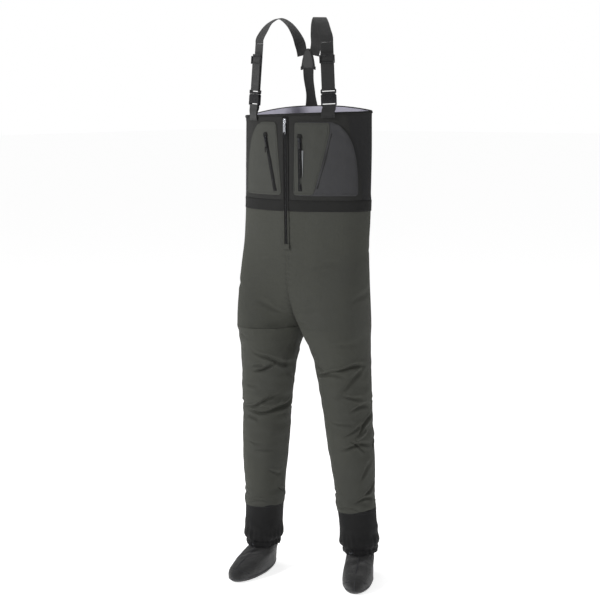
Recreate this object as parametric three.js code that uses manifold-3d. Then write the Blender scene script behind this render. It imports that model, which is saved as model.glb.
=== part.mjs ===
// Stockingfoot chest waders: a zipped bib on elastic braces, two legs, gaiters and neoprene booties.
// Millimetres, +Z up. The wearer faces -Y and the wearer's left is +X.
// Heights are measured from the soles. The finished group is lowered and shifted so that its origin
// is the point midway between the tops of the two shoulder straps, where the wearer's shoulders carry it.

import * as THREE from 'three';
import { mergeVertices } from 'three/addons/utils/BufferGeometryUtils.js';
import Module from 'manifold-3d';

const wasm = await Module();
wasm.setup();

// ---------------------------------------------------------------- driving dimensions
const CLEAR = 0.3;                  // gap between pieces that touch
const SHOULDER = { y: -52, z: 1731 };    // top of the shoulder straps
const RIM_FRONT = 1445;             // height of the bib's top edge at the zip
const RIM_RISE = 24;                // the back of the rim stands higher than the front
const RIM_TILT = 7;                 // the bib hangs a little higher on the wearer's left
const BAND_TOP = 1185;              // waist band
const BAND_HEIGHT = 33;
const ZIP_BOTTOM = 1052;
const RISE_TOP = 1090;              // where the two leg halves start to draw together
const CROTCH = 789;
const CROTCH_Y = -25;
const HIP_SLEEVE_TOP = 772;         // the legs are split where they bend
const HIP_SLEEVE_BOTTOM = 728;
const KNEE_SLEEVE_TOP = 672;
const KNEE_SLEEVE_BOTTOM = 486;
const GAITER_TOP = 212;
const GAITER_SPLIT = 132;
const HEM_BOTTOM = 82;
const SHAFT_TOP = 204;
const FOOT_TOP = 88;
const SHELL_WALL = 2.4;             // laminated fabric
const NEOPRENE_WALL = 4.5;
const GAITER_WALL = 2;
const BINDING = { height: 8, wall: 4, proud: 0.8 };
const WEB = { width: 38, thickness: 1.8 };
const GAITER_EASE = 0.4;            // the bootie shaft sits this far inside the gaiter
const FOOT_LIFT = 4;                // thickness of the bootie's sole

// Torso sections: height, half width, side line y, front y, back y, sideways shift.
const TORSO = [
  [789, 212, -10, -138, 95, -8],
  [900, 215, -5, -130, 102, -10],
  [1000, 213, 0, -117, 95, -10],
  [1030, 212, 0, -117, 92, -9],
  [1168, 215, 0, -124, 74, -1],
  [1310, 216, 6, -131.1, 46, 0],
  [1445, 216, 9, -137.9, 23, 0],
  [1500, 216, 9, -140.7, 20, 0],
];
const FRONT_ROUNDNESS = 1.85;       // 2 is an ellipse, more is squarer
const BACK_ROUNDNESS = 2.4;

// Leg sections: height, half width, half depth.
const LEG = [
  [80, 50, 59],
  [130, 55, 65],
  [212, 58, 67],
  [287, 61, 72],
  [365, 68, 80],
  [443, 72, 87],
  [521, 74, 88],
  [598, 79, 94],
  [675, 85, 98],
  [751, 93, 107],
  [789, 100.8, 112],
];
// Leg centre lines: height, distance from the middle. The wearer's left foot stands further out.
const LEG_PATH = {
  right: {
    side: -1, y: -59, toeOut: 2,
    path: [[80, 129], [212, 124], [365, 120], [598, 110], [751, 102], [789, 101]],
  },
  left: {
    side: 1, y: 14, toeOut: 22,
    path: [[80, 184], [212, 170], [365, 153], [598, 128], [751, 107], [789, 101]],
  },
};
// Bootie sections above the sole: height, reach ahead of the ankle, reach behind it, half width.
const FOOT = [
  [4.3, 186, 64, 43],
  [16, 195, 69, 46],
  [32, 190, 70, 46.5],
  [46, 166, 69, 45.5],
  [56, 132, 66, 45],
  [66, 88, 62, 44],
  [74, 62, 57, 43],
  [81, 52, 53, 42],
  [88, 49, 51, 42],
];

const COLOURS = {
  shell: [0x474844, 0.85, 0], bib: [0x2c2c2b, 0.85, 0], side: [0x242425, 0.8, 0], pocket: [0x494a46, 0.85, 0],
  yoke: [0x5a5a5a, 0.8, 0], web: [0x1d1d1e, 0.8, 0], neoprene: [0x202024, 0.9, 0], zip: [0x141415, 0.5, 0],
  acetal: [0x18181a, 0.4, 0], metal: [0xc9cbd0, 0.3, 1],
};

// ---------------------------------------------------------------- small maths
const clamp01 = (v) => Math.min(1, Math.max(0, v));
const lerp = (a, b, t) => a + (b - a) * t;
const smooth = (v) => clamp01(v) ** 2 * (3 - 2 * clamp01(v));
const rad = THREE.MathUtils.degToRad;
const vec = (x, y, z) => new THREE.Vector3(x, y, z);

// Smooth value of one column of a station table at height z.
function station(table, column, z) {
  const last = table.length - 1;
  const at = Math.min(Math.max(z, table[0][0]), table[last][0]);
  let i = 0;
  while (i < last - 1 && at > table[i + 1][0]) {
    i += 1;
  }
  const slope = (k) => {
    const a = Math.max(k - 1, 0);
    const b = Math.min(k + 1, last);
    return (table[b][column] - table[a][column]) / (table[b][0] - table[a][0]);
  };
  const span = table[i + 1][0] - table[i][0];
  const t = (at - table[i][0]) / span;
  const bend = t * t * (3 - 2 * t);
  return lerp(table[i][column], table[i + 1][column], bend)
    + span * (t * (1 - t) ** 2 * slope(i) - t * t * (1 - t) * slope(i + 1));
}

// ---------------------------------------------------------------- solids from points
function solid(points, faces) {
  const geometry = new THREE.BufferGeometry();
  const position = points.flatMap((p) => [p.x, p.y, p.z]);
  geometry.setAttribute('position', new THREE.Float32BufferAttribute(position, 3));
  const volume = faces.reduce((sum, [a, b, c]) => (
    sum + points[a].dot(points[b].clone().cross(points[c]))), 0);
  const turned = volume < 0 ? faces.map(([a, b, c]) => [a, c, b]) : faces;
  geometry.setIndex(turned.flat());
  return mergeVertices(geometry, 1e-4);
}

// A sheet with thickness: two grids of points, outer and inner, joined round their edges.
// A closed sheet is a tube, whose last column meets its first.
function sheetSolid(outer, inner, closed) {
  const rows = outer.length;
  const columns = outer[0].length;
  const points = [...outer.flat(), ...inner.flat()];
  const at = (side, i, j) => side * rows * columns + i * columns + (closed ? j % columns : j);
  const faces = [];
  const quad = (a, b, c, d) => faces.push([a, b, c], [a, c, d]);
  const lastColumn = closed ? columns : columns - 1;
  for (let i = 0; i < rows - 1; i += 1) {
    for (let j = 0; j < lastColumn; j += 1) {
      quad(at(0, i, j), at(0, i, j + 1), at(0, i + 1, j + 1), at(0, i + 1, j));
      quad(at(1, i, j), at(1, i + 1, j), at(1, i + 1, j + 1), at(1, i, j + 1));
    }
    if (!closed) {
      quad(at(0, i, 0), at(0, i + 1, 0), at(1, i + 1, 0), at(1, i, 0));
      quad(at(0, i, lastColumn), at(1, i, lastColumn), at(1, i + 1, lastColumn), at(0, i + 1, lastColumn));
    }
  }
  for (let j = 0; j < lastColumn; j += 1) {
    quad(at(0, 0, j), at(1, 0, j), at(1, 0, j + 1), at(0, 0, j + 1));
    quad(at(0, rows - 1, j), at(0, rows - 1, j + 1), at(1, rows - 1, j + 1), at(1, rows - 1, j));
  }
  return solid(points, faces);
}

// Grid of a surface and of the surface a wall's thickness inside it. The end rows stay level,
// so that two stretches of one tube meet with an even gap.
function wallGrids(surface, rows, columns, closed, out, wall) {
  const step = 1e-3;
  const outer = [];
  const inner = [];
  for (let i = 0; i <= rows; i += 1) {
    const outerRow = [];
    const innerRow = [];
    for (let j = 0; j < (closed ? columns : columns + 1); j += 1) {
      const v = i / rows;
      const u = j / columns;
      const v0 = Math.max(v - step, 0);
      const v1 = Math.min(v + step, 1);
      const u0 = closed ? u - step : Math.max(u - step, 0);
      const u1 = closed ? u + step : Math.min(u + step, 1);
      const along = surface(u, v1).sub(surface(u, v0));
      const around = surface(u1, v).sub(surface(u0, v));
      const normal = around.cross(along);
      if (i === 0 || i === rows) {
        normal.setZ(0);
      }
      normal.normalize();
      const point = surface(u, v);
      outerRow.push(point.clone().addScaledVector(normal, out));
      innerRow.push(point.clone().addScaledVector(normal, out - wall));
    }
    outer.push(outerRow);
    inner.push(innerRow);
  }
  return [outer, inner];
}

function toManifold(geometry) {
  const clean = geometry.clone();
  clean.deleteAttribute('normal');
  clean.deleteAttribute('uv');
  const merged = mergeVertices(clean, 1e-4);
  return new wasm.Manifold(new wasm.Mesh({
    numProp: 3,
    vertProperties: new Float32Array(merged.attributes.position.array),
    triVerts: new Uint32Array(merged.index.array),
  }));
}

function fromManifold(shape) {
  const mesh = shape.getMesh();
  const geometry = new THREE.BufferGeometry();
  geometry.setAttribute('position', new THREE.BufferAttribute(mesh.vertProperties, 3));
  geometry.setIndex(new THREE.BufferAttribute(mesh.triVerts, 1));
  return geometry;
}

const box = (x, y, z, at = [0, 0, 0]) => new THREE.BoxGeometry(x, y, z).translate(...at);

function rounded(width, height, radius, depth, at = [0, 0, 0]) {
  const shape = new THREE.Shape();
  const x = width / 2 - radius;
  const z = height / 2 - radius;
  shape.absarc(x, z, radius, 0, Math.PI / 2);
  shape.absarc(-x, z, radius, Math.PI / 2, Math.PI);
  shape.absarc(-x, -z, radius, Math.PI, Math.PI * 1.5);
  shape.absarc(x, -z, radius, Math.PI * 1.5, Math.PI * 2);
  shape.closePath();
  const plate = new THREE.ExtrudeGeometry(shape, { depth, bevelEnabled: false, curveSegments: 4 });
  return plate.rotateX(Math.PI / 2).translate(at[0], at[1] + depth / 2, at[2]);
}

function carve(body, cuts) {
  return fromManifold(cuts.reduce((shape, cut) => shape.subtract(toManifold(cut)), toManifold(body)));
}

function join(pieces) {
  const [first, ...rest] = pieces.map(toManifold);
  return fromManifold(rest.reduce((shape, piece) => shape.add(piece), first));
}

// ---------------------------------------------------------------- the scene
const waders = new THREE.Group();
waders.position.set(0, -SHOULDER.y, -SHOULDER.z);

function add(name, geometry, look, parent = waders) {
  const [color, roughness, metalness] = COLOURS[look];
  const mesh = new THREE.Mesh(geometry, new THREE.MeshStandardMaterial({ color, roughness, metalness }));
  mesh.name = name;
  parent.add(mesh);
  return mesh;
}

// ---------------------------------------------------------------- torso surface
// angle 0 is the front centre, positive towards the wearer's left; 180 is the back centre.
function torsoPoint(angle, z) {
  const halfWidth = station(TORSO, 1, z);
  const sideY = station(TORSO, 2, z);
  const front = Math.cos(angle) >= 0;
  const power = 2 / (front ? FRONT_ROUNDNESS : BACK_ROUNDNESS);
  const reach = (front ? station(TORSO, 3, z) : station(TORSO, 4, z)) - sideY;
  const x = halfWidth * Math.sign(Math.sin(angle)) * Math.abs(Math.sin(angle)) ** power;
  const y = sideY + reach * Math.abs(Math.cos(angle)) ** power;
  return vec(station(TORSO, 5, z) + x, y, z);
}

const rimHeight = (angle) => (
  RIM_FRONT + RIM_RISE * ((1 - Math.cos(angle)) / 2) ** 4 + RIM_TILT * Math.sin(angle));

function torsoNormal(angle, z) {
  const around = torsoPoint(angle + 0.002, z).sub(torsoPoint(angle - 0.002, z));
  const up = torsoPoint(angle, z + 0.5).sub(torsoPoint(angle, z - 0.5));
  return around.cross(up).normalize();
}

// A panel between two edges, each an angle in degrees at a share v of its height, 0 low and 1 high.
function torsoPanel({ edges, low, high, rows, columns, out = 0, wall = SHELL_WALL }) {
  const [from, to] = edges[0](0) < edges[1](0) ? edges : [edges[1], edges[0]];
  const surface = (u, v) => {
    const angle = rad(lerp(from(v), to(v), u));
    return torsoPoint(angle, lerp(low(angle), high(angle), v));
  };
  const [outer, inner] = wallGrids(surface, rows, columns, false, out, wall);
  return sheetSolid(outer, inner, false);
}

function torsoRing({ low, high, rows, columns, out = 0, wall = SHELL_WALL }) {
  const surface = (u, v) => {
    const angle = u * Math.PI * 2;
    return torsoPoint(angle, lerp(low(angle), high(angle), v));
  };
  const [outer, inner] = wallGrids(surface, rows, columns, true, out, wall);
  return sheetSolid(outer, inner, true);
}

// ---------------------------------------------------------------- bib
const CENTRE_EDGE = 0.05;           // degrees either side of the zip, so the fronts meet with a gap
const SEAM_EDGE = 0.05;
const FRONT_TO_SIDE = (v) => 74 - 16 * smooth(v) - 2 * v;   // side seam swings forward as it rises
const SIDE_TO_BACK = 122;
const panelLow = () => BAND_TOP + CLEAR;
const panelHigh = (angle) => rimHeight(angle) - BINDING.height - CLEAR * 2.5;

for (const [name, side] of [['right', -1], ['left', 1]]) {
  const edge = (f) => (v) => side * f(v);
  add(`bib_front_${name}`, torsoPanel({
    edges: [edge(() => CENTRE_EDGE), edge((v) => FRONT_TO_SIDE(v) - SEAM_EDGE)],
    low: panelLow, high: panelHigh, rows: 8, columns: 10,
  }), 'bib');
  add(`bib_side_${name}`, torsoPanel({
    edges: [edge((v) => FRONT_TO_SIDE(v) + SEAM_EDGE), edge(() => SIDE_TO_BACK - SEAM_EDGE)],
    low: panelLow, high: panelHigh, rows: 8, columns: 8,
  }), 'side');
}
add('bib_back', torsoPanel({
  edges: [() => SIDE_TO_BACK + SEAM_EDGE, () => 360 - SIDE_TO_BACK - SEAM_EDGE],
  low: panelLow, high: panelHigh, rows: 8, columns: 12,
}), 'side');
add('rim_binding', torsoRing({
  low: (angle) => rimHeight(angle) - BINDING.height, high: rimHeight,
  rows: 1, columns: 48, out: BINDING.proud, wall: BINDING.wall,
}), 'bib');
add('waist_band', torsoRing({
  low: () => BAND_TOP - BAND_HEIGHT, high: () => BAND_TOP, rows: 1, columns: 48,
}), 'bib');

// ---------------------------------------------------------------- chest pockets
const POCKET = { low: BAND_TOP + 14, high: RIM_FRONT - 24, out: 3.8, wall: 2.8 };
// Inner and outer edges in degrees; the outer edge bows out and rounds over at the top.
const POCKET_EDGES = {
  right: { side: -1, inner: (v) => 6 + 4 * v, outer: (v) => 54 - 16 * v ** 2 - 9 * v ** 8 },
  left: { side: 1, inner: (v) => 7 + 2.5 * v, outer: (v) => 68 - 12 * v ** 2 - 12 * v ** 6 },
};
for (const [name, { side, inner, outer }] of Object.entries(POCKET_EDGES)) {
  add(`pocket_panel_${name}`, torsoPanel({
    edges: [(v) => side * inner(v), (v) => side * outer(v)],
    low: () => POCKET.low, high: () => POCKET.high,
    rows: 10, columns: 8, out: POCKET.out, wall: POCKET.wall,
  }), 'pocket');
}

// ---------------------------------------------------------------- zips
// A straight frame on the torso's surface, from a top point to a bottom point.
// Its X is across the zip, its Y points into the body and its Z runs up the zip.
function zipFrame(top, bottom, angle, lift) {
  const up = top.clone().sub(bottom);
  const length = up.length();
  up.normalize();
  const outward = torsoNormal(angle, (top.z + bottom.z) / 2);
  const into = outward.clone().negate().addScaledVector(up, outward.dot(up)).normalize();
  const across = into.clone().cross(up);
  const frame = new THREE.Group();
  const basis = new THREE.Matrix4().makeBasis(across, into, up);
  frame.quaternion.setFromRotationMatrix(basis);
  frame.position.copy(top).lerp(bottom, 0.5).addScaledVector(into, -lift);
  waders.add(frame);
  return { frame, length };
}

const MAIN_ZIP = { tape: 9, tapeThick: 1, coil: 6, coilThick: 2.2 };
const zipTop = RIM_FRONT - BINDING.height - 2;
const mainZip = zipFrame(torsoPoint(0, zipTop), torsoPoint(0, ZIP_BOTTOM), 0, CLEAR);
for (const [name, side] of [['right', -1], ['left', 1]]) {
  const x = side * (MAIN_ZIP.coil / 2 + CLEAR + MAIN_ZIP.tape / 2);
  add(`zip_tape_${name}`, box(MAIN_ZIP.tape, MAIN_ZIP.tapeThick, mainZip.length,
    [x, -MAIN_ZIP.tapeThick / 2, 0]), 'zip', mainZip.frame);
}
add('zip_teeth', box(MAIN_ZIP.coil, MAIN_ZIP.coilThick, mainZip.length,
  [0, -MAIN_ZIP.coilThick / 2, 0]), 'zip', mainZip.frame);

// A slider rides over the coil, and its tab hangs from a pin across its bridge.
function sliderWithPull(names, frame, seat, size, top) {
  const { width, height, thick, tabWidth, tabLength } = size;
  const body = rounded(width, height, width * 0.3, thick, [0, -seat - thick / 2, top - height / 2]);
  const bridge = box(width * 0.3, thick, height * 0.5, [0, -seat - thick * 1.5 + 0.2, top - height / 2]);
  add(names[0], join([body, bridge]), 'metal', frame);
  const hangZ = top - height * 0.82;
  const tab = rounded(tabWidth, tabLength, tabWidth * 0.3, 1.6,
    [0, -seat - thick - CLEAR - 0.8, hangZ - tabLength / 2]);
  add(names[1], tab, 'zip', frame);
}
const MAIN_SLIDER = { width: 10, height: 15, thick: 3, tabWidth: 8, tabLength: 34 };
sliderWithPull(['zip_slider', 'zip_pull'], mainZip.frame,
  MAIN_ZIP.coilThick + CLEAR, MAIN_SLIDER, mainZip.length / 2 - 4);

// Pocket zips: angle and height of both ends.
const POCKET_ZIPS = {
  right: { top: [-22, 1378], bottom: [-12.5, 1212] },
  left: { top: [14, 1374], bottom: [13.5, 1214] },
};
const POCKET_COIL = { width: 9, thick: 1.6, seat: 0.9 };
const POCKET_SLIDER = { width: 8, height: 12, thick: 2.4, tabWidth: 6, tabLength: 26 };
for (const [name, { top, bottom }] of Object.entries(POCKET_ZIPS)) {
  const lift = POCKET.out + POCKET_COIL.seat;
  const middle = rad((top[0] + bottom[0]) / 2);
  const zip = zipFrame(torsoPoint(rad(top[0]), top[1]), torsoPoint(rad(bottom[0]), bottom[1]), middle, lift);
  add(`pocket_zip_${name}`, box(POCKET_COIL.width, POCKET_COIL.thick, zip.length,
    [0, -POCKET_COIL.thick / 2, 0]), 'zip', zip.frame);
  sliderWithPull([`pocket_slider_${name}`, `pocket_pull_${name}`], zip.frame,
    POCKET_COIL.thick + CLEAR, POCKET_SLIDER, zip.length / 2 - 3);
}

// ---------------------------------------------------------------- legs
const legHalf = (z) => [station(LEG, 1, z), station(LEG, 2, z)];

// A point on the leg: turn 0 is the inner side, a quarter is the front, a half the outer side.
function legPoint(leg, turn, z, inset = 0) {
  const [halfWidth, halfDepth] = legHalf(z);
  const centre = station(leg.path, 1, z);
  const angle = turn * Math.PI * 2;
  const pull = ((1 + Math.cos(angle)) / 2) ** 2 * smooth((z - CROTCH + 120) / 120);
  const x = centre - (halfWidth - inset) * Math.cos(angle);
  const y = leg.y - (halfDepth - inset) * Math.sin(angle) + pull * (CROTCH_Y - leg.y);
  return vec(leg.side * x, y, z);
}

// One half of the trunk: an open sheet from the waist, drawn in along a U-shaped rise seam
// until it closes round the leg at the crotch, and a short tube below it.
function lowerBody(leg) {
  const rise = 8;
  const trunk = 3;
  const columns = 24;
  const seam = rad(SEAM_EDGE);
  const ring = (u, angle) => {
    const drop = Math.sin(angle);
    const share = lerp(1 - Math.cos(angle), smooth(drop), Math.sin(Math.PI * u) ** 2);
    const z = lerp(RISE_TOP, CROTCH, drop);
    const around = lerp(seam, Math.PI - seam, u) * leg.side;
    return torsoPoint(around, z).lerp(legPoint(leg, u, z), share);
  };
  const surface = (u, row) => {
    if (row <= trunk) {
      const z = lerp(BAND_TOP - BAND_HEIGHT - CLEAR, RISE_TOP, row / trunk);
      return torsoPoint(lerp(seam, Math.PI - seam, u) * leg.side, z);
    }
    if (row <= trunk + rise) {
      return ring(u, ((row - trunk) / rise) * Math.PI / 2);
    }
    return legPoint(leg, u, lerp(CROTCH, HIP_SLEEVE_TOP + CLEAR, row - trunk - rise));
  };
  const outer = [];
  const inner = [];
  const step = 1e-3;
  for (let row = 0; row <= trunk + rise + 1; row += 1) {
    const outerRow = [];
    const innerRow = [];
    for (let j = 0; j <= columns; j += 1) {
      const u = j / columns;
      const tube = row >= trunk + rise;
      const before = surface(tube ? u - step : Math.max(u - step, 0), row);
      const after = surface(tube ? u + step : Math.min(u + step, 1), row);
      const normal = after.sub(before).cross(vec(0, 0, 1)).multiplyScalar(leg.side).normalize();
      const point = surface(u, row);
      outerRow.push(point.clone());
      innerRow.push(point.clone().addScaledVector(normal, -SHELL_WALL));
    }
    outer.push(outerRow);
    inner.push(innerRow);
  }
  return trunkSolid(outer, inner, trunk + rise);
}

// Like sheetSolid, but open at its side edges only down to the row where it closes into a tube.
function trunkSolid(outer, inner, closeRow) {
  const rows = outer.length;
  const columns = outer[0].length;
  const points = [...outer.flat(), ...inner.flat()];
  const at = (side, i, j) => {
    const column = i >= closeRow && j === columns - 1 ? 0 : j;
    return side * rows * columns + i * columns + column;
  };
  const faces = [];
  const quad = (a, b, c, d) => {
    faces.push([a, b, c], [a, c, d]);
  };
  for (let i = 0; i < rows - 1; i += 1) {
    for (let j = 0; j < columns - 1; j += 1) {
      quad(at(0, i, j), at(0, i, j + 1), at(0, i + 1, j + 1), at(0, i + 1, j));
      quad(at(1, i, j), at(1, i + 1, j), at(1, i + 1, j + 1), at(1, i, j + 1));
    }
    if (i < closeRow) {
      const end = columns - 1;
      quad(at(0, i, 0), at(0, i + 1, 0), at(1, i + 1, 0), at(1, i, 0));
      quad(at(0, i, end), at(1, i, end), at(1, i + 1, end), at(0, i + 1, end));
    }
  }
  for (let j = 0; j < columns - 1; j += 1) {
    quad(at(0, 0, j), at(1, 0, j), at(1, 0, j + 1), at(0, 0, j + 1));
    quad(at(0, rows - 1, j), at(0, rows - 1, j + 1), at(1, rows - 1, j + 1), at(1, rows - 1, j));
  }
  return solid(points, faces);
}

// A stretch of leg as a tube with a wall.
function legTube(leg, high, low, { rows, columns = 18, inset = () => 0, wall = SHELL_WALL }) {
  const surface = (u, v) => {
    const z = lerp(high, low, v);
    return legPoint(leg, leg.side * u, z, inset(z));
  };
  const [outer, inner] = wallGrids(surface, rows, columns, true, 0, -wall);
  return sheetSolid(outer, inner, true);
}

// ---------------------------------------------------------------- booties
function footPoint(u, z) {
  const ahead = station(FOOT, 1, z);
  const behind = station(FOOT, 2, z);
  const halfWidth = station(FOOT, 3, z);
  const angle = u * Math.PI * 2;
  const reach = (ahead + behind) / 2;
  const y = (behind - ahead) / 2 - reach * Math.cos(angle);
  const long = clamp01((reach - 60) / 60);
  const ball = 1 + 0.1 * long * Math.cos(angle) - 0.12 * long * Math.max(0, -Math.cos(angle));
  return vec(halfWidth * ball * Math.sin(angle), y, z);
}

const FOOT_SIDES = 20;

function bootie(leg, name) {
  const frame = new THREE.Group();
  const ankle = legPoint(leg, 0.25, HEM_BOTTOM).lerp(legPoint(leg, 0.75, HEM_BOTTOM), 0.5);
  frame.position.set(ankle.x, ankle.y, 0);
  frame.rotation.z = rad(leg.toeOut);
  waders.add(frame);
  const surface = (u, v) => footPoint(u, lerp(FOOT_LIFT + CLEAR, FOOT_TOP, v));
  const [outer, inner] = wallGrids(surface, 8, FOOT_SIDES, true, 0, NEOPRENE_WALL);
  add(`bootie_upper_${name}`, sheetSolid(outer, inner, true), 'neoprene', frame);
  const outline = new THREE.Shape();
  for (let j = 0; j < FOOT_SIDES; j += 1) {
    const p = footPoint(j / FOOT_SIDES, FOOT_LIFT + CLEAR);
    outline[j === 0 ? 'moveTo' : 'lineTo'](p.x, p.y);
  }
  outline.closePath();
  const sole = new THREE.ExtrudeGeometry(outline, { depth: FOOT_LIFT, bevelEnabled: false });
  add(`bootie_sole_${name}`, sole, 'neoprene', frame);
}

// The hem is flat between its edges, so the hook is seated a little deeper than the curve.
const LACE_HOOK = { width: 12, height: 16, wire: 2, seat: 1.2 };
for (const [name, leg] of Object.entries(LEG_PATH)) {
  add(`lower_body_${name}`, lowerBody(leg), 'shell');
  add(`thigh_top_${name}`, legTube(leg, HIP_SLEEVE_TOP, HIP_SLEEVE_BOTTOM + CLEAR, { rows: 1 }), 'shell');
  add(`thigh_${name}`, legTube(leg, HIP_SLEEVE_BOTTOM, KNEE_SLEEVE_TOP + CLEAR, { rows: 1 }), 'shell');
  add(`knee_${name}`, legTube(leg, KNEE_SLEEVE_TOP, KNEE_SLEEVE_BOTTOM + CLEAR, { rows: 4 }), 'shell');
  add(`shin_${name}`, legTube(leg, KNEE_SLEEVE_BOTTOM, GAITER_TOP + CLEAR, { rows: 4 }), 'shell');
  add(`gaiter_${name}`, legTube(leg, GAITER_TOP, GAITER_SPLIT + CLEAR, { rows: 1, wall: GAITER_WALL }), 'web');
  add(`gaiter_hem_${name}`, legTube(leg, GAITER_SPLIT, HEM_BOTTOM, { rows: 1, wall: GAITER_WALL }), 'web');
  const shaftInset = (z) => GAITER_WALL + GAITER_EASE + 4 * smooth((SHAFT_TOP - z) / 60);
  add(`bootie_shaft_${name}`, legTube(leg, SHAFT_TOP, FOOT_TOP + CLEAR,
    { rows: 3, inset: shaftInset, wall: NEOPRENE_WALL }), 'neoprene');
  bootie(leg, name);
  const front = legPoint(leg, 0.25, HEM_BOTTOM + LACE_HOOK.height + 3);
  const place = vec(front.x, front.y - CLEAR - LACE_HOOK.wire / 2 + LACE_HOOK.seat,
    HEM_BOTTOM + LACE_HOOK.height / 2 + 3);
  const plate = rounded(LACE_HOOK.width, LACE_HOOK.height, 4, LACE_HOOK.wire, [place.x, place.y, place.z]);
  const eye = rounded(LACE_HOOK.width - 5, LACE_HOOK.height - 7, 2, LACE_HOOK.wire * 2,
    [place.x, place.y, place.z + 1]);
  add(`lace_hook_${name}`, carve(plate, [eye]), 'metal');
}

// ---------------------------------------------------------------- braces
// A ribbon of webbing through points, each with the direction that its width takes.
function ribbon(stops, width, thickness, steps) {
  const curve = new THREE.CatmullRomCurve3(stops.map((s) => vec(...s.at)), false, 'centripetal');
  const sides = stops.map((s) => vec(...s.across).normalize());
  const across = new THREE.CatmullRomCurve3(sides, false, 'centripetal');
  const outer = [];
  const inner = [];
  for (let i = 0; i <= steps; i += 1) {
    const t = i / steps;
    const centre = curve.getPoint(t);
    const tangent = curve.getTangent(t);
    const side = across.getPoint(t);
    side.addScaledVector(tangent, -side.dot(tangent)).normalize();
    const normal = tangent.clone().cross(side).normalize();
    const half = (typeof width === 'function' ? width(t) : width) / 2;
    const edge = (s, n) => (
      centre.clone().addScaledVector(side, s * half).addScaledVector(normal, n * thickness / 2));
    outer.push([edge(-1, 1), edge(1, 1)]);
    inner.push([edge(-1, -1), edge(1, -1)]);
  }
  return sheetSolid(outer, inner, false);
}

const YOKE = { apex: 1636, base: 1584, halfWidth: 20, y: 1, thick: 3 };
const STRAP_TURN = 22;              // the front webs face a little outwards
const WEB_LEAN = { foot: [130, -102, 1467], head: [118, -97, 1655] };
const BUCKLE = {
  width: 46, depth: 11, femaleHeight: 36, maleHeight: 15, wall: 3, slot: 5, bar: 4, tongue: 8, prong: 5,
};
const GLIDE = { height: 24, post: 3, bar: 3, below: 50 };
const WEB_EASE = 0.6;               // room between a web bar and the web round it
const LAYER = BUCKLE.bar / 2 + WEB_EASE + WEB.thickness / 2;

// A frame on the front web: Z up along it, Y into the body.
function webFrame(side) {
  const foot = vec(side * WEB_LEAN.foot[0], WEB_LEAN.foot[1], WEB_LEAN.foot[2]);
  const head = vec(side * WEB_LEAN.head[0], WEB_LEAN.head[1], WEB_LEAN.head[2]);
  const up = head.clone().sub(foot).normalize();
  const turn = rad(STRAP_TURN) * side;
  const across = vec(Math.cos(turn), Math.sin(turn), 0);
  across.addScaledVector(up, -across.dot(up)).normalize();
  const into = up.clone().cross(across);
  const frame = new THREE.Group();
  frame.quaternion.setFromRotationMatrix(new THREE.Matrix4().makeBasis(across, into, up));
  frame.position.copy(foot);
  waders.add(frame);
  return { frame, foot, up, across, into };
}

// Blocks that thin a web bar at height z, so that the web wraps closely round it.
function barCuts(z) {
  const { width, depth, wall, bar } = BUCKLE;
  return [-1, 1].map((way) => box(width * 2, depth, wall + 0.02, [0, way * (bar + depth) / 2, z]));
}

function femaleBuckle() {
  const { width, depth, femaleHeight, wall, slot } = BUCKLE;
  const body = rounded(width, femaleHeight, 5, depth, [0, 0, femaleHeight / 2]);
  const webSlot = box(WEB.width + 1, depth * 2, slot, [0, 0, wall + slot / 2]);
  const floor = wall * 2 + slot;
  const cavity = box(width - wall * 2, depth - wall * 1.4, femaleHeight,
    [0, 0, floor + femaleHeight / 2]);
  const windows = box(width * 2, depth - wall * 1.4, femaleHeight, [0, 0, floor + 6 + femaleHeight / 2]);
  return carve(body, [webSlot, cavity, windows, ...barCuts(wall / 2)]);
}

function maleBuckle() {
  const { width, depth, femaleHeight, maleHeight, wall, slot, tongue } = BUCKLE;
  const base = femaleHeight + CLEAR;
  const body = rounded(width, maleHeight, 4, depth, [0, 0, base + maleHeight / 2]);
  const webSlot = box(WEB.width + 1, depth * 2, slot, [0, 0, base + maleHeight - wall - slot / 2]);
  const guide = box(tongue, depth - wall * 2, 20, [0, 0, base - 9]);
  return join([carve(body, [webSlot, ...barCuts(base + maleHeight - wall / 2)]), guide]);
}

// A side prong: its arm hangs from the base, and its barb stands out through the side window.
function prongGeometry(side) {
  const { width, depth, femaleHeight, wall, prong } = BUCKLE;
  const thick = depth - wall * 2;
  const x = side * (width / 2 - wall - prong / 2 - 1.2);
  const arm = box(prong, thick, 19, [x, 0, femaleHeight - 9.9]);
  const barb = box(prong, thick, 7, [x + side * 2.6, 0, femaleHeight - 15]);
  return join([arm, barb]);
}

// The tri-glide: two side posts, two outer bars before the web and a middle bar between its layers.
function triGlide() {
  const { height, post, bar } = GLIDE;
  const inner = WEB.width + 1.4;
  const front = LAYER + WEB.thickness / 2 + CLEAR;
  const back = LAYER - WEB.thickness / 2 - CLEAR;
  const posts = [-1, 1].map((way) => box(post, front + bar + back, height,
    [way * (inner + post) / 2, (back - front - bar) / 2, 0]));
  const bars = [-1, 1].map((way) => box(inner + post, bar, bar,
    [0, -front - bar / 2, way * (height - bar) / 2]));
  const middle = box(inner + post, back * 2, bar);
  return join([...posts, ...bars, middle]);
}

// Stops of a web that turns closely round a bar's edge at height z. The bar lies below the turn
// where way is 1 and above it where way is -1.
function barTurn(z, way) {
  const half = BUCKLE.bar / 2;
  const radius = LAYER - half;
  const corner = radius * Math.SQRT1_2;
  const near = [[LAYER, z - way * 4], [LAYER, z - way * radius],
    [half + corner, z - way * (radius - corner)], [half, z]];
  return [...near, ...near.map(([y, height]) => [-y, height]).reverse()];
}

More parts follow.
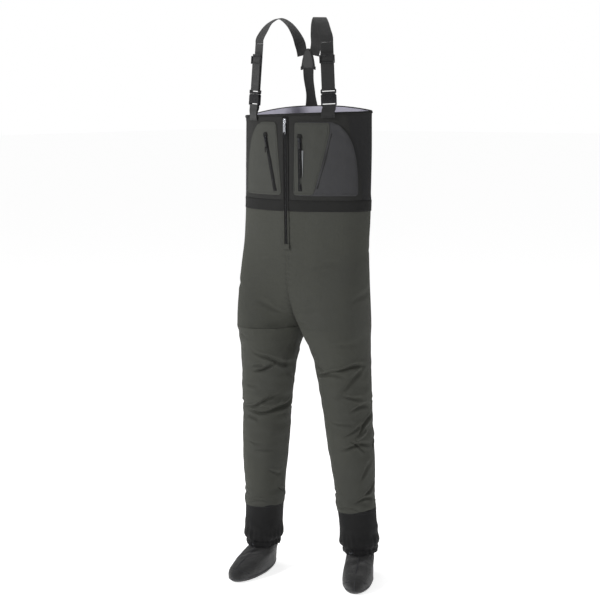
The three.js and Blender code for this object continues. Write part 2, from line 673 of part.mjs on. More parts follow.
// Doubled web: a back layer, a turn round the buckle's bar and a front layer up through the tri-glide.
function doubledWeb(bar, top, frontTop) {
  const stops = [[LAYER, top], [LAYER, lerp(bar, top, 0.5)], ...barTurn(bar, -1),
    [-LAYER, lerp(bar, frontTop, 0.5)], [-LAYER, frontTop]];
  return ribbon(stops.map(([y, z]) => ({ at: [0, y, z], across: [1, 0, 0] })), WEB.width, WEB.thickness, 22);
}

const webTop = vec(...WEB_LEAN.head).sub(vec(...WEB_LEAN.foot)).length();
const ANCHOR = { lift: 1.9, layer: 2.2 };   // the anchor web lies on the bib in two layers
for (const [name, side] of [['right', -1], ['left', 1]]) {
  const web = webFrame(side);
  const rimAngle = side * rad(38);
  const rim = rimHeight(rimAngle);
  const flat = torsoNormal(rimAngle, rim).cross(vec(0, 0, 1)).negate().toArray();
  const across = web.across.toArray();
  const onBib = (z, lift) => ({
    at: torsoPoint(rimAngle, z).addScaledVector(torsoNormal(rimAngle, z), lift).toArray(), across: flat,
  });
  const inFrame = ([y, z]) => ({
    at: web.foot.clone().addScaledVector(web.into, y).addScaledVector(web.up, z).toArray(), across,
  });
  const turn = barTurn(BUCKLE.wall + WEB_EASE + WEB.thickness / 2, 1).map(inFrame);
  add(`anchor_web_${name}`, ribbon([
    onBib(rim - 25, ANCHOR.lift), onBib(rim - 8, ANCHOR.lift + 0.9), onBib(rim + 1, ANCHOR.lift + 1.2),
    inFrame([LAYER, -7]), ...turn, inFrame([-LAYER, -7]), onBib(rim + 1, ANCHOR.lift + ANCHOR.layer + 1.2),
    onBib(rim - 8, ANCHOR.lift + ANCHOR.layer + 0.9), onBib(rim - 25, ANCHOR.lift + ANCHOR.layer),
  ], WEB.width, WEB.thickness, 30), 'web');
  add(`buckle_female_${name}`, femaleBuckle(), 'acetal', web.frame);
  add(`buckle_male_${name}`, maleBuckle(), 'acetal', web.frame);
  add(`prong_outer_${name}`, prongGeometry(side), 'acetal', web.frame);
  add(`prong_inner_${name}`, prongGeometry(-side), 'acetal', web.frame);
  const bar = BUCKLE.femaleHeight + CLEAR + BUCKLE.maleHeight - BUCKLE.wall - WEB_EASE - WEB.thickness / 2;
  const glideZ = webTop - GLIDE.below;
  add(`adjuster_web_${name}`, doubledWeb(bar, webTop - CLEAR, glideZ + GLIDE.height / 2 + 6), 'web', web.frame);
  add(`tri_glide_${name}`, triGlide(), 'acetal', web.frame).position.z = glideZ;
  const head = web.foot.clone().addScaledVector(web.up, webTop).addScaledVector(web.into, LAYER);
  add(`shoulder_strap_${name}`, ribbon([
    { at: head.toArray(), across },
    { at: head.clone().addScaledVector(web.up, 12).toArray(), across },
    { at: [side * 104, -87, 1692], across: [0.92, side * 0.4, 0] },
    { at: [side * 89, -74, 1717], across: [0.8, side * 0.6, 0] },
    { at: [side * 69, SHOULDER.y, SHOULDER.z - WEB.thickness / 2], across: [0.74, side * 0.68, 0] },
    { at: [side * 50, -29, 1714], across: [0.74, side * 0.62, side * -0.2] },
    { at: [side * 35, -8, 1680], across: [0.84, side * 0.34, side * -0.35] },
    { at: [side * 27, YOKE.y, 1650], across: [0.9, 0, side * -0.42] },
    { at: [side * 20.5, YOKE.y, 1620], across: [0.93, 0, side * -0.36] },
  ], (t) => lerp(WEB.width, 34, smooth((t - 0.75) * 4)), WEB.thickness, 26), 'web');
}

// ---------------------------------------------------------------- yoke and back strap
const yokeShape = new THREE.Shape();
yokeShape.moveTo(-YOKE.halfWidth, YOKE.base);
yokeShape.lineTo(YOKE.halfWidth, YOKE.base);
yokeShape.quadraticCurveTo(YOKE.halfWidth + 1, lerp(YOKE.base, YOKE.apex, 0.5), 4, YOKE.apex);
yokeShape.quadraticCurveTo(0, YOKE.apex + 2.5, -4, YOKE.apex);
yokeShape.quadraticCurveTo(-YOKE.halfWidth - 1, lerp(YOKE.base, YOKE.apex, 0.5), -YOKE.halfWidth, YOKE.base);
const yokeFront = new THREE.ExtrudeGeometry(yokeShape,
  { depth: YOKE.thick, bevelEnabled: false, curveSegments: 6 });
yokeFront.rotateX(Math.PI / 2).translate(0, YOKE.y - WEB.thickness / 2 - CLEAR, 0);
add('yoke_patch', yokeFront, 'yoke');

const BACK_STRAP = { top: 35, middle: 30, foot: 46, thickness: 2.2 };
const backRim = torsoPoint(Math.PI, RIM_FRONT + RIM_RISE);
add('back_strap', ribbon([
  { at: [0, YOKE.y + 0.6, YOKE.base + 8], across: [1, 0, 0] },
  { at: [0, YOKE.y + 3, 1550], across: [1, 0, 0] },
  { at: [0, backRim.y - 7, 1508], across: [1, 0, 0] },
  { at: [0, backRim.y - 1.2, RIM_FRONT + RIM_RISE + CLEAR * 2.5], across: [1, 0, 0] },
], (t) => lerp(BACK_STRAP.top, BACK_STRAP.middle, smooth(t * 2))
  + (BACK_STRAP.foot - BACK_STRAP.middle) * smooth(t * 2 - 1), BACK_STRAP.thickness, 14), 'web');

export default waders;
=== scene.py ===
# Stockingfoot chest waders: the finished look over the CAD frame.
# Shapes are worked out in millimetres above the soles, as the CAD part does, and moved into the frame
# by in_frame(). The wearer faces -Y and the wearer's left is +X.
import math

import bmesh
import bpy
import numpy as np
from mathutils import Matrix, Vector


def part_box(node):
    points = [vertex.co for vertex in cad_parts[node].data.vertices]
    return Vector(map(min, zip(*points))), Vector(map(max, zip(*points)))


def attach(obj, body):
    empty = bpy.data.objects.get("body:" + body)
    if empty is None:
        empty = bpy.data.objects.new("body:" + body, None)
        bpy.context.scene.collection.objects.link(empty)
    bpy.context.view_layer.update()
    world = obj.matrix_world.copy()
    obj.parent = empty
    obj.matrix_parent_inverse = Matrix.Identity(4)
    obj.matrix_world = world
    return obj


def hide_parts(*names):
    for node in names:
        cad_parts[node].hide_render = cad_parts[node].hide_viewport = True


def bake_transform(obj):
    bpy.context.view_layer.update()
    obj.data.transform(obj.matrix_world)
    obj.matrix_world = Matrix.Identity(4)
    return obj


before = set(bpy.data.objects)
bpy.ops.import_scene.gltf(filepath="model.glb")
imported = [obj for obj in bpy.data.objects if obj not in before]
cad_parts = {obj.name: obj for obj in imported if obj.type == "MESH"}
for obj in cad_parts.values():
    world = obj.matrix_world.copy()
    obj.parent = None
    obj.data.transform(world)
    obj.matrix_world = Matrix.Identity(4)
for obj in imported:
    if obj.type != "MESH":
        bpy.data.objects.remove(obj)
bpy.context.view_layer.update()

# ---------------------------------------------------------------- driving dimensions
# They are those of the CAD part, except that the cloth of the gaiter reaches 9 mm higher up the shin.
SHOULDER = np.array([0.0, -52.0, 1731.0])
RIM_FRONT, RIM_RISE, RIM_TILT = 1445.0, 24.0, 7.0
BAND_TOP, BAND_HEIGHT = 1185.0, 33.0
ZIP_BOTTOM = 1052.0
RISE_TOP, CROTCH, CROTCH_Y = 1090.0, 789.0, -25.0
HIP_BEND = (772.0, 728.0)
KNEE_BEND = (672.0, 486.0)
ANKLE_BEND = (132.0, 90.0)
LEG_SPLIT = 700.0                    # the hip piece ends and the leg piece begins
GAITER_TOP, HEM_BOTTOM, FOOT_TOP = 221.0, 82.0, 88.0
BINDING = 8.0
WEB = 38.0
FRONT_POWER, BACK_POWER = 2 / 1.85, 2 / 2.4

# Torso sections: height, half width, side line y, front y, back y, sideways shift.
TORSO = np.array([
    [789, 212, -10, -138, 95, -8], [900, 215, -5, -130, 102, -10], [1000, 213, 0, -117, 95, -10],
    [1030, 212, 0, -117, 92, -9], [1168, 215, 0, -124, 74, -1], [1310, 216, 6, -131.1, 46, 0],
    [1445, 216, 9, -137.9, 23, 0], [1500, 216, 9, -140.7, 20, 0]], float)
# Leg sections: height, half width, half depth.
LEG = np.array([
    [80, 50, 59], [130, 55, 65], [212, 58, 67], [287, 61, 72], [365, 68, 80], [443, 72, 87],
    [521, 74, 88], [598, 79, 94], [675, 85, 98], [751, 93, 107], [789, 100.8, 112]], float)
LEGS = {
    "right": {"side": -1, "y": -59.0, "toe_out": 2.0,
              "path": np.array([[80, 129], [212, 124], [365, 120], [598, 110], [751, 102], [789, 101]],
                               float)},
    "left": {"side": 1, "y": 14.0, "toe_out": 22.0,
             "path": np.array([[80, 184], [212, 170], [365, 153], [598, 128], [751, 107], [789, 101]],
                              float)},
}
# Bootie sections above the floor: height, reach ahead of the ankle, reach behind it, half width.
FOOT = np.array([
    [0, 176, 56, 36], [1.2, 182, 61, 40], [4.3, 187, 65, 43.5], [16, 195, 69, 46], [32, 190, 70, 46.5],
    [46, 166, 69, 45.5], [56, 132, 66, 45], [66, 88, 62, 44], [74, 62, 57, 43], [81, 52, 53, 42],
    [88, 49, 51, 42]], float)


# ---------------------------------------------------------------- small maths
def in_frame(points):
    """Millimetres above the soles to metres in the CAD frame."""
    return (np.asarray(points, float) - SHOULDER) * 0.001


def lerp(a, b, t):
    return a + (b - a) * t


def smooth(v):
    v = np.clip(v, 0, 1)
    return v * v * (3 - 2 * v)


def station(table, column, z):
    """Smooth value of one column of a station table at heights z."""
    heights, values = table[:, 0], table[:, column]
    last = len(heights) - 1
    before, after = np.maximum(np.arange(last + 1) - 1, 0), np.minimum(np.arange(last + 1) + 1, last)
    slope = (values[after] - values[before]) / (heights[after] - heights[before])
    at = np.clip(np.asarray(z, float), heights[0], heights[-1])
    i = np.clip(np.searchsorted(heights, at) - 1, 0, last - 1)
    span = heights[i + 1] - heights[i]
    t = (at - heights[i]) / span
    bend = t * t * (3 - 2 * t)
    pull = span * (t * (1 - t) ** 2 * slope[i] - t * t * (1 - t) * slope[i + 1])
    return lerp(values[i], values[i + 1], bend) + pull


def torso_point(angle, z):
    """angle 0 is the front centre, positive towards the wearer's left."""
    angle, z = np.broadcast_arrays(np.asarray(angle, float), np.asarray(z, float))
    side_y = station(TORSO, 2, z)
    front = np.cos(angle) >= 0
    power = np.where(front, FRONT_POWER, BACK_POWER)
    reach = np.where(front, station(TORSO, 3, z), station(TORSO, 4, z)) - side_y
    across = station(TORSO, 1, z) * np.sign(np.sin(angle)) * np.abs(np.sin(angle)) ** power
    y = side_y + reach * np.abs(np.cos(angle)) ** power
    return np.stack([station(TORSO, 5, z) + across, y, z], -1)


def rim_height(angle):
    return RIM_FRONT + RIM_RISE * ((1 - np.cos(angle)) / 2) ** 4 + RIM_TILT * np.sin(angle)


def leg_point(leg, turn, z, inset=0.0):
    """turn 0 is the inner side, a quarter is the front, a half the outer side."""
    turn, z = np.broadcast_arrays(np.asarray(turn, float), np.asarray(z, float))
    angle = turn * 2 * math.pi
    pull = ((1 + np.cos(angle)) / 2) ** 2 * smooth((z - CROTCH + 120) / 120)
    x = station(leg["path"], 1, z) - (station(LEG, 1, z) - inset) * np.cos(angle)
    y = leg["y"] - (station(LEG, 2, z) - inset) * np.sin(angle) + pull * (CROTCH_Y - leg["y"])
    return np.stack([leg["side"] * x, y, z], -1)


def grid_normals(points, closed=False):
    """Unit normals of a grid of points."""
    if closed:
        around = np.roll(points, -1, 1) - np.roll(points, 1, 1)
    else:
        around = np.gradient(points, axis=1)
    normal = np.cross(around, np.gradient(points, axis=0))
    normal /= np.maximum(np.linalg.norm(normal, axis=-1, keepdims=True), 1e-9)
    return normal


def outward(normals, points, centre):
    """Flips a whole field of normals if it points towards centre."""
    away = np.sum(normals * (points - centre), -1).mean()
    return normals if away > 0 else -normals


def waves(points, wavelength, seed, count=14):
    """Soft random undulation, about -1 to 1, from waves in all directions."""
    rng = np.random.default_rng(seed)
    total = np.zeros(points.shape[:-1])
    for _ in range(count):
        direction = rng.normal(size=3)
        direction /= np.linalg.norm(direction)
        length = wavelength * rng.uniform(0.7, 1.6)
        total += np.sin(points @ direction * (2 * math.pi / length) + rng.uniform(0, 2 * math.pi))
    return total / math.sqrt(count)


# ---------------------------------------------------------------- camera, light and floor
def aim_camera():
    turn, pitch = math.radians(30), math.radians(7.84)
    away = 4.5
    look = Vector((-math.sin(turn), math.cos(turn), 0))
    right = Vector((math.cos(turn), math.sin(turn), 0))
    axis = Vector(in_frame([0, 0, 1485]))
    camera = bpy.data.objects.new("camera", bpy.data.cameras.new("camera"))
    camera.location = axis - look * away - right * 0.0246
    camera.rotation_euler = (math.pi / 2 - pitch, 0, turn)
    camera.data.angle = 2 * math.atan(300 / 1452)
    bpy.context.scene.collection.objects.link(camera)
    bpy.context.scene.camera = camera


def soft_light(name, place, target, size, power):
    light = bpy.data.objects.new(name, bpy.data.lights.new(name, "AREA"))
    light.data.shape = "DISK"
    light.data.size = size
    light.data.energy = power
    light.location = place
    light.rotation_euler = (Vector(target) - Vector(place)).to_track_quat("-Z", "Y").to_euler()
    bpy.context.scene.collection.objects.link(light)


def build_stage():
    scene = bpy.context.scene
    scene.view_settings.view_transform = "Standard"
    world = bpy.data.worlds.new("studio")
    world.use_nodes = True
    tree = world.node_tree
    background = tree.nodes["Background"]
    background.inputs["Color"].default_value = (1, 1, 1, 1)
    # the white paper behind is bright to look at, but lights the object only softly
    seen = tree.nodes.new("ShaderNodeLightPath")
    strength = tree.nodes.new("ShaderNodeMapRange")
    strength.inputs["To Min"].default_value = 0.28
    strength.inputs["To Max"].default_value = 1.0
    tree.links.new(seen.outputs["Is Camera Ray"], strength.inputs["Value"])
    tree.links.new(strength.outputs["Result"], background.inputs["Strength"])
    scene.world = world
    middle = (0, 0, -0.85)
    soft_light("key", (-2.3, -3.2, 1.3), middle, 1.3, 118)
    soft_light("fill", (3.4, -1.6, 0.2), middle, 2.0, 13)
    soft_light("top", (-0.6, 0.4, 2.6), middle, 1.4, 30)
    bpy.ops.mesh.primitive_plane_add(size=80, location=(0, 20, in_frame([0, 0, -0.6])[2]))
    floor = bpy.context.object
    floor.name = "floor"
    paper = plain("floor_paper", "#ffffff", 0.9)
    surface = next(n for n in paper.node_tree.nodes if n.type == "BSDF_PRINCIPLED")
    surface.inputs["Emission Color"].default_value = (1, 1, 1, 1)
    surface.inputs["Emission Strength"].default_value = 0.7
    floor.data.materials.append(paper)


# ---------------------------------------------------------------- materials
def linear(hex_colour, alpha=1.0):
    """An sRGB hex colour as linear RGBA."""
    values = [int(hex_colour[i:i + 2], 16) / 255 for i in (1, 3, 5)]
    return (*[v / 12.92 if v <= 0.04045 else ((v + 0.055) / 1.055) ** 2.4 for v in values], alpha)


class Shader:
    """A material's node tree, with short calls for the nodes used here."""

    def __init__(self, name):
        self.material = bpy.data.materials.new(name)
        self.material.use_nodes = True
        self.tree = self.material.node_tree
        self.bsdf = self.tree.nodes["Principled BSDF"]

    def node(self, kind, settings=None, **inputs):
        node = self.tree.nodes.new(kind)
        for key, value in (settings or {}).items():
            setattr(node, key, value)
        for key, value in inputs.items():
            self.feed(node.inputs[key.replace("_", " ")], value)
        return node

    def feed(self, socket, value):
        if isinstance(value, bpy.types.NodeSocket):
            self.tree.links.new(value, socket)
        else:
            socket.default_value = value

    def math(self, operation, a, b=0.5):
        node = self.node("ShaderNodeMath", {"operation": operation})
        self.feed(node.inputs[0], a)
        self.feed(node.inputs[1], b)
        return node.outputs[0]

    def mix(self, share, a, b):
        node = self.node("ShaderNodeMix", {"data_type": "RGBA"})
        self.feed(node.inputs["Factor"], share)
        self.feed(node.inputs[6], a)
        self.feed(node.inputs[7], b)
        return node.outputs[2]

    def noise(self, vector, scale, detail=3.0):
        return self.node("ShaderNodeTexNoise", Vector=vector, Scale=scale, Detail=detail).outputs["Fac"]

    def bands(self, vector, scale, direction, distortion=0.0):
        settings = {"wave_type": "BANDS", "bands_direction": direction}
        node = self.node("ShaderNodeTexWave", settings, Vector=vector, Scale=scale, Distortion=distortion)
        return node.outputs["Fac"]

    def ramp(self, value, low, high, to_low, to_high):
        node = self.node("ShaderNodeMapRange", Value=value, From_Min=low, From_Max=high,
                         To_Min=to_low, To_Max=to_high)
        return node.outputs["Result"]

    def bump(self, height, distance, strength=1.0, under=None):
        node = self.node("ShaderNodeBump", Height=height, Distance=distance, Strength=strength)
        if under is not None:
            self.feed(node.inputs["Normal"], under)
        return node.outputs["Normal"]


def plain(name, colour, roughness, metallic=0.0):
    s = Shader(name)
    s.bsdf.inputs["Base Color"].default_value = linear(colour)
    s.bsdf.inputs["Roughness"].default_value = roughness
    s.bsdf.inputs["Metallic"].default_value = metallic
    return s.material


def cloth(name, colour, worn, thread, relief, roughness=0.82, rip=0.0, sheen=0.25, pucker=0.0):
    """Woven cloth. thread is the thread spacing in metres, rip the spacing of a ripstop grid (0 for none),
    worn the colour it fades towards, relief the height of the weave and pucker that of fine crumpling."""
    s = Shader(name)
    uv = s.node("ShaderNodeTexCoord").outputs["UV"]
    place = s.node("ShaderNodeTexCoord").outputs["Object"]
    warp = s.bands(uv, 0.5 / thread, "X")
    weft = s.bands(uv, 0.5 / thread, "Y")
    weave = s.math("MULTIPLY", warp, weft)
    slub = s.noise(uv, 0.2 / thread, 4.0)
    height = s.math("ADD", weave, s.math("MULTIPLY", slub, 0.7))
    if rip:
        lines = s.math("MAXIMUM", s.bands(uv, 0.5 / rip, "X"), s.bands(uv, 0.5 / rip, "Y"))
        grid = s.ramp(lines, 0.93, 1.0, 0.0, 1.0)
        height = s.math("ADD", height, s.math("MULTIPLY", grid, 0.8))
    cloud = s.noise(place, 9.0, 5.0)
    fade = s.ramp(cloud, 0.35, 0.72, 0.0, 0.55)
    shade = s.math("MULTIPLY", s.math("SUBTRACT", 1.0, weave), 0.35)
    base = s.mix(fade, linear(colour), linear(worn))
    dark = tuple(v * 0.62 for v in linear(colour)[:3]) + (1,)
    s.feed(s.bsdf.inputs["Base Color"], s.mix(shade, base, dark))
    s.feed(s.bsdf.inputs["Roughness"], s.ramp(cloud, 0.3, 0.7, roughness - 0.07, min(roughness + 0.08, 1)))
    s.bsdf.inputs["Sheen Weight"].default_value = sheen
    s.bsdf.inputs["Sheen Roughness"].default_value = 0.5
    s.bsdf.inputs["Sheen Tint"].default_value = linear(worn)
    s.bsdf.inputs["Specular IOR Level"].default_value = 0.32
    normal = s.bump(height, relief)
    if pucker:
        crumple = s.noise(place, 42.0, 5.0)
        normal = s.bump(crumple, pucker, 1.0, normal)
    s.feed(s.bsdf.inputs["Normal"], normal)
    return s.material


def ribbed_web(name, colour, worn):
    """Webbing: fine ribs across its length and a coarser twill along it."""
    s = Shader(name)
    uv = s.node("ShaderNodeTexCoord").outputs["UV"]
    ribs = s.bands(uv, 0.5 / 0.0016, "Y", 0.3)
    cords = s.bands(uv, 0.5 / 0.0048, "X")
    height = s.math("ADD", s.math("MULTIPLY", ribs, cords), s.math("MULTIPLY", s.noise(uv, 900.0), 0.4))
    s.feed(s.bsdf.inputs["Base Color"],
           s.mix(s.ramp(height, 0.2, 1.2, 0.0, 0.8), linear(colour), linear(worn)))
    s.feed(s.bsdf.inputs["Roughness"], s.ramp(height, 0.0, 1.2, 0.85, 0.62))
    s.bsdf.inputs["Sheen Weight"].default_value = 0.2
    s.feed(s.bsdf.inputs["Normal"], s.bump(height, 0.0005))
    return s.material


def neoprene_skin(name, colour, worn):
    """Neoprene with a fine knitted face: small stretched loops over soft dimples."""
    s = Shader(name)
    coordinates = s.node("ShaderNodeTexCoord")
    uv, place = coordinates.outputs["UV"], coordinates.outputs["Object"]
    loops = s.math("MULTIPLY", s.bands(uv, 0.5 / 0.0009, "X", 1.2), s.bands(uv, 0.5 / 0.0013, "Y", 1.2))
    soft = s.noise(place, 60.0, 4.0)
    fade = s.ramp(s.noise(place, 14.0), 0.35, 0.7, 0.0, 0.8)
    s.feed(s.bsdf.inputs["Base Color"], s.mix(fade, linear(colour), linear(worn)))
    s.feed(s.bsdf.inputs["Roughness"], s.ramp(soft, 0.3, 0.7, 0.72, 0.9))
    s.bsdf.inputs["Sheen Weight"].default_value = 0.3
    s.feed(s.bsdf.inputs["Normal"], s.bump(soft, 0.0012, 0.6, s.bump(loops, 0.00025)))
    return s.material


def moulded(name, colour, roughness, metallic=0.0):
    """Moulded plastic or plated metal, with faint grain and uneven polish from handling."""
    s = Shader(name)
    place = s.node("ShaderNodeTexCoord").outputs["Object"]
    s.bsdf.inputs["Base Color"].default_value = linear(colour)
    s.bsdf.inputs["Metallic"].default_value = metallic
    cloud = s.noise(place, 180.0, 4.0)
    s.feed(s.bsdf.inputs["Roughness"], s.ramp(cloud, 0.3, 0.7, roughness * 0.75, roughness * 1.25))
    s.feed(s.bsdf.inputs["Normal"], s.bump(s.noise(place, 2600.0), 0.00006))
    return s.material


SHELL = cloth("shell_cloth", "#3f403b", "#494a43", 0.0009, 0.00022, rip=0.0052, pucker=0.0016)
BIB = cloth("bib_cloth", "#252524", "#2e2e2c", 0.0009, 0.00022, rip=0.0052, pucker=0.0009)
BAND = cloth("band_cloth", "#181817", "#202020", 0.0012, 0.0003)
SIDE = cloth("stretch_side_cloth", "#232324", "#2b2b2c", 0.0014, 0.00035, roughness=0.86, pucker=0.0007)
POCKET = cloth("pocket_cloth", "#40413d", "#4b4c47", 0.0009, 0.00022, rip=0.0052, pucker=0.0009)
POCKET_DIM = cloth("pocket_side_cloth", "#3b3b3d", "#454547", 0.0011, 0.00026, pucker=0.0009)
YOKE = cloth("yoke_cloth", "#454545", "#535353", 0.0016, 0.0004)
GAITER = cloth("gaiter_cloth", "#111112", "#19191a", 0.0013, 0.0004, roughness=0.8, pucker=0.0012)
LINING = cloth("lining_cloth", "#c9c7d6", "#d8d6e2", 0.0012, 0.0002, roughness=0.75, pucker=0.001)
THREAD = plain("stitch_thread", "#1a1a1a", 0.7)
THREAD_PALE = plain("overlock_thread", "#3a3a3e", 0.75)
WEBBING = ribbed_web("brace_webbing", "#0f0f0f", "#1c1c1d")
TAPE = cloth("zip_tape_cloth", "#141415", "#1c1c1d", 0.0008, 0.00025)
NEOPRENE = neoprene_skin("bootie_neoprene", "#0a0a0b", "#111113")
ACETAL = moulded("buckle_acetal", "#141416", 0.3)
METAL = moulded("plated_metal", "#b8babf", 0.24, 1.0)
COIL = moulded("zip_coil_plastic", "#1b1b1d", 0.35)
DARK_METAL = moulded("dark_plated_metal", "#3a3b3e", 0.3, 1.0)
SILVER = moulded("reflective_trim", "#77797b", 0.45, 0.3)
CORD = cloth("pull_cord", "#161617", "#222223", 0.0009, 0.0003)


# ---------------------------------------------------------------- meshes
def lengths(points, axis):
    """Running length along one axis of a grid, averaged over the other, in metres."""
    step = np.linalg.norm(np.diff(points, axis=axis), axis=-1).mean(1 - axis) * 0.001
    return np.concatenate([[0], np.cumsum(step)])


def sheet(name, points, material, closed=False, centre=None, inward=False, normals=None, cap=False):
    """A smooth sheet through a grid of points (rows, columns, 3). A closed one joins its last column to
    its first. centre is what it faces away from. cap closes its last row."""
    rows, columns = points.shape[:2]
    along, around = lengths(points, 0), lengths(points, 1)
    if closed:
        closing = np.linalg.norm(points[:, 0] - points[:, -1], axis=-1).mean() * 0.001
        around = np.append(around, around[-1] + closing)
    spans = columns if closed else columns - 1
    i, j = np.meshgrid(np.arange(rows - 1), np.arange(spans), indexing="ij")
    i, j = i.ravel(), j.ravel()
    k = (j + 1) % columns
    quads = np.stack([i * columns + j, i * columns + k, (i + 1) * columns + k, (i + 1) * columns + j], -1)
    corners_u = np.stack([around[j], around[j + 1], around[j + 1], around[j]], -1)
    corners_v = np.stack([along[i], along[i], along[i + 1], along[i + 1]], -1)
    field = grid_normals(points, closed)
    middle = points.mean((0, 1)) if centre is None else np.asarray(centre, float)
    turned = outward(field, points, middle)
    if inward:
        turned = -turned
    first = points.reshape(-1, 3)[quads[:, :4]]
    face = np.cross(first[:, 1] - first[:, 0], first[:, 3] - first[:, 0])
    wanted = turned.reshape(-1, 3)[quads[:, 0]]
    if np.sum(face * wanted) < 0:
        quads, corners_u, corners_v = quads[:, ::-1], corners_u[:, ::-1], corners_v[:, ::-1]
    faces = quads.tolist()
    if cap:
        ring = [(rows - 1) * columns + c for c in range(columns)]
        below = quads[-1].tolist()
        backwards = below.index(ring[-1]) < below.index(ring[-2]) if ring[-2] in below else False
        faces.append(ring if backwards else ring[::-1])
    mesh = bpy.data.meshes.new(name)
    mesh.from_pydata(in_frame(points.reshape(-1, 3)).tolist(), [], faces)
    uv = mesh.uv_layers.new(name="UVMap")
    flat = np.stack([corners_u.ravel(), corners_v.ravel()], -1).ravel()
    values = np.zeros(len(mesh.loops) * 2, np.float32)
    values[:len(flat)] = flat
    uv.data.foreach_set("uv", values)
    mesh.polygons.foreach_set("use_smooth", [True] * len(mesh.polygons))
    mesh.materials.append(material)
    mesh.update()
    if normals is not None:
        mesh.normals_split_custom_set_from_vertices(normals.reshape(-1, 3).tolist())
    obj = bpy.data.objects.new(name, mesh)
    bpy.context.scene.collection.objects.link(obj)
    return obj


def settle(obj, slot, motion, *replaced):
    """Hides the CAD nodes that a piece stands for. When the piece moves with one body, given by its name, it
    parents the piece to that body. When it is given two bodies with the points where it would start and stop
    bending, it only bakes the transform, and nothing bends. slot is not used."""
    if replaced:
        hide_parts(*replaced)
    if isinstance(motion, str):
        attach(obj, motion)
    else:
        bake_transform(obj)
    return obj


def copied(name, nodes, material, slot, body, bevel=0.0006, segments=3):
    """A CAD piece with its edges rounded over."""
    mesh = bpy.data.meshes.new(name)
    shape = bmesh.new()
    for node in nodes:
        shape.from_mesh(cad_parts[node].data)
    bmesh.ops.remove_doubles(shape, verts=shape.verts, dist=1e-6)
    bmesh.ops.dissolve_limit(shape, angle_limit=math.radians(2), verts=shape.verts, edges=shape.edges)
    shape.to_mesh(mesh)
    shape.free()
    obj = bpy.data.objects.new(name, mesh)
    bpy.context.scene.collection.objects.link(obj)
    rounding = obj.modifiers.new("rounding", "BEVEL")
    rounding.width = bevel
    rounding.segments = segments
    rounding.limit_method = "ANGLE"
    rounding.angle_limit = math.radians(34)
    rounding.harden_normals = False
    bake(obj)
    obj.data.materials.clear()
    obj.data.materials.append(material)
    obj.data.polygons.foreach_set("use_smooth", [True] * len(obj.data.polygons))
    obj.data.set_sharp_from_angle(angle=math.radians(40))
    return settle(obj, slot, body, *nodes)


def bake(obj):
    """Turns an object's modifiers into plain mesh."""
    bpy.context.view_layer.update()
    graph = bpy.context.evaluated_depsgraph_get()
    mesh = bpy.data.meshes.new_from_object(obj.evaluated_get(graph))
    obj.modifiers.clear()
    obj.data = mesh


# ---------------------------------------------------------------- repeated small things
def repeater():
    """A geometry group that sets one small rounded bead at even spacing along a line of edges."""
    tree = bpy.data.node_groups.new("bead_row", "GeometryNodeTree")
    face = tree.interface
    face.new_socket("Geometry", in_out="INPUT", socket_type="NodeSocketGeometry")
    for label, value in (("Spacing", 0.003), ("Length", 0.002), ("Width", 0.0005), ("Thickness", 0.0004)):
        socket = face.new_socket(label, in_out="INPUT", socket_type="NodeSocketFloat")
        socket.default_value = value
    face.new_socket("Detail", in_out="INPUT", socket_type="NodeSocketInt").default_value = 1
    face.new_socket("Material", in_out="INPUT", socket_type="NodeSocketMaterial")
    face.new_socket("Geometry", in_out="OUTPUT", socket_type="NodeSocketGeometry")
    nodes, links = tree.nodes, tree.links
    start, end = nodes.new("NodeGroupInput"), nodes.new("NodeGroupOutput")
    curve = nodes.new("GeometryNodeMeshToCurve")
    spaced = nodes.new("GeometryNodeResampleCurve")
    spaced.mode = "LENGTH"
    facing = nodes.new("GeometryNodeInputNamedAttribute")
    facing.data_type = "FLOAT_VECTOR"
    facing.inputs["Name"].default_value = "facing"
    tangent = nodes.new("GeometryNodeInputTangent")
    along = nodes.new("FunctionNodeAlignRotationToVector")
    along.axis = "X"
    up = nodes.new("FunctionNodeAlignRotationToVector")
    up.axis, up.pivot_axis = "Z", "X"
    bead = nodes.new("GeometryNodeMeshIcoSphere")
    bead.inputs["Radius"].default_value = 0.5
    size = nodes.new("ShaderNodeCombineXYZ")
    place = nodes.new("GeometryNodeInstanceOnPoints")
    real = nodes.new("GeometryNodeRealizeInstances")
    soft = nodes.new("GeometryNodeSetShadeSmooth")
    paint = nodes.new("GeometryNodeSetMaterial")
    links.new(start.outputs["Geometry"], curve.inputs[0])
    links.new(curve.outputs[0], spaced.inputs["Curve"])
    links.new(start.outputs["Spacing"], spaced.inputs["Length"])
    links.new(tangent.outputs[0], along.inputs["Vector"])
    links.new(along.outputs[0], up.inputs["Rotation"])
    links.new(facing.outputs[0], up.inputs["Vector"])
    links.new(start.outputs["Detail"], bead.inputs["Subdivisions"])
    for axis, label in (("X", "Length"), ("Y", "Width"), ("Z", "Thickness")):
        links.new(start.outputs[label], size.inputs[axis])
    links.new(spaced.outputs[0], place.inputs["Points"])
    links.new(bead.outputs["Mesh"], place.inputs["Instance"])
    links.new(up.outputs[0], place.inputs["Rotation"])
    links.new(size.outputs[0], place.inputs["Scale"])
    links.new(place.outputs[0], real.inputs[0])
    links.new(real.outputs[0], soft.inputs[0])
    links.new(soft.outputs[0], paint.inputs["Geometry"])
    links.new(start.outputs["Material"], paint.inputs["Material"])
    links.new(paint.outputs[0], end.inputs[0])
    return tree


REPEATER = repeater()


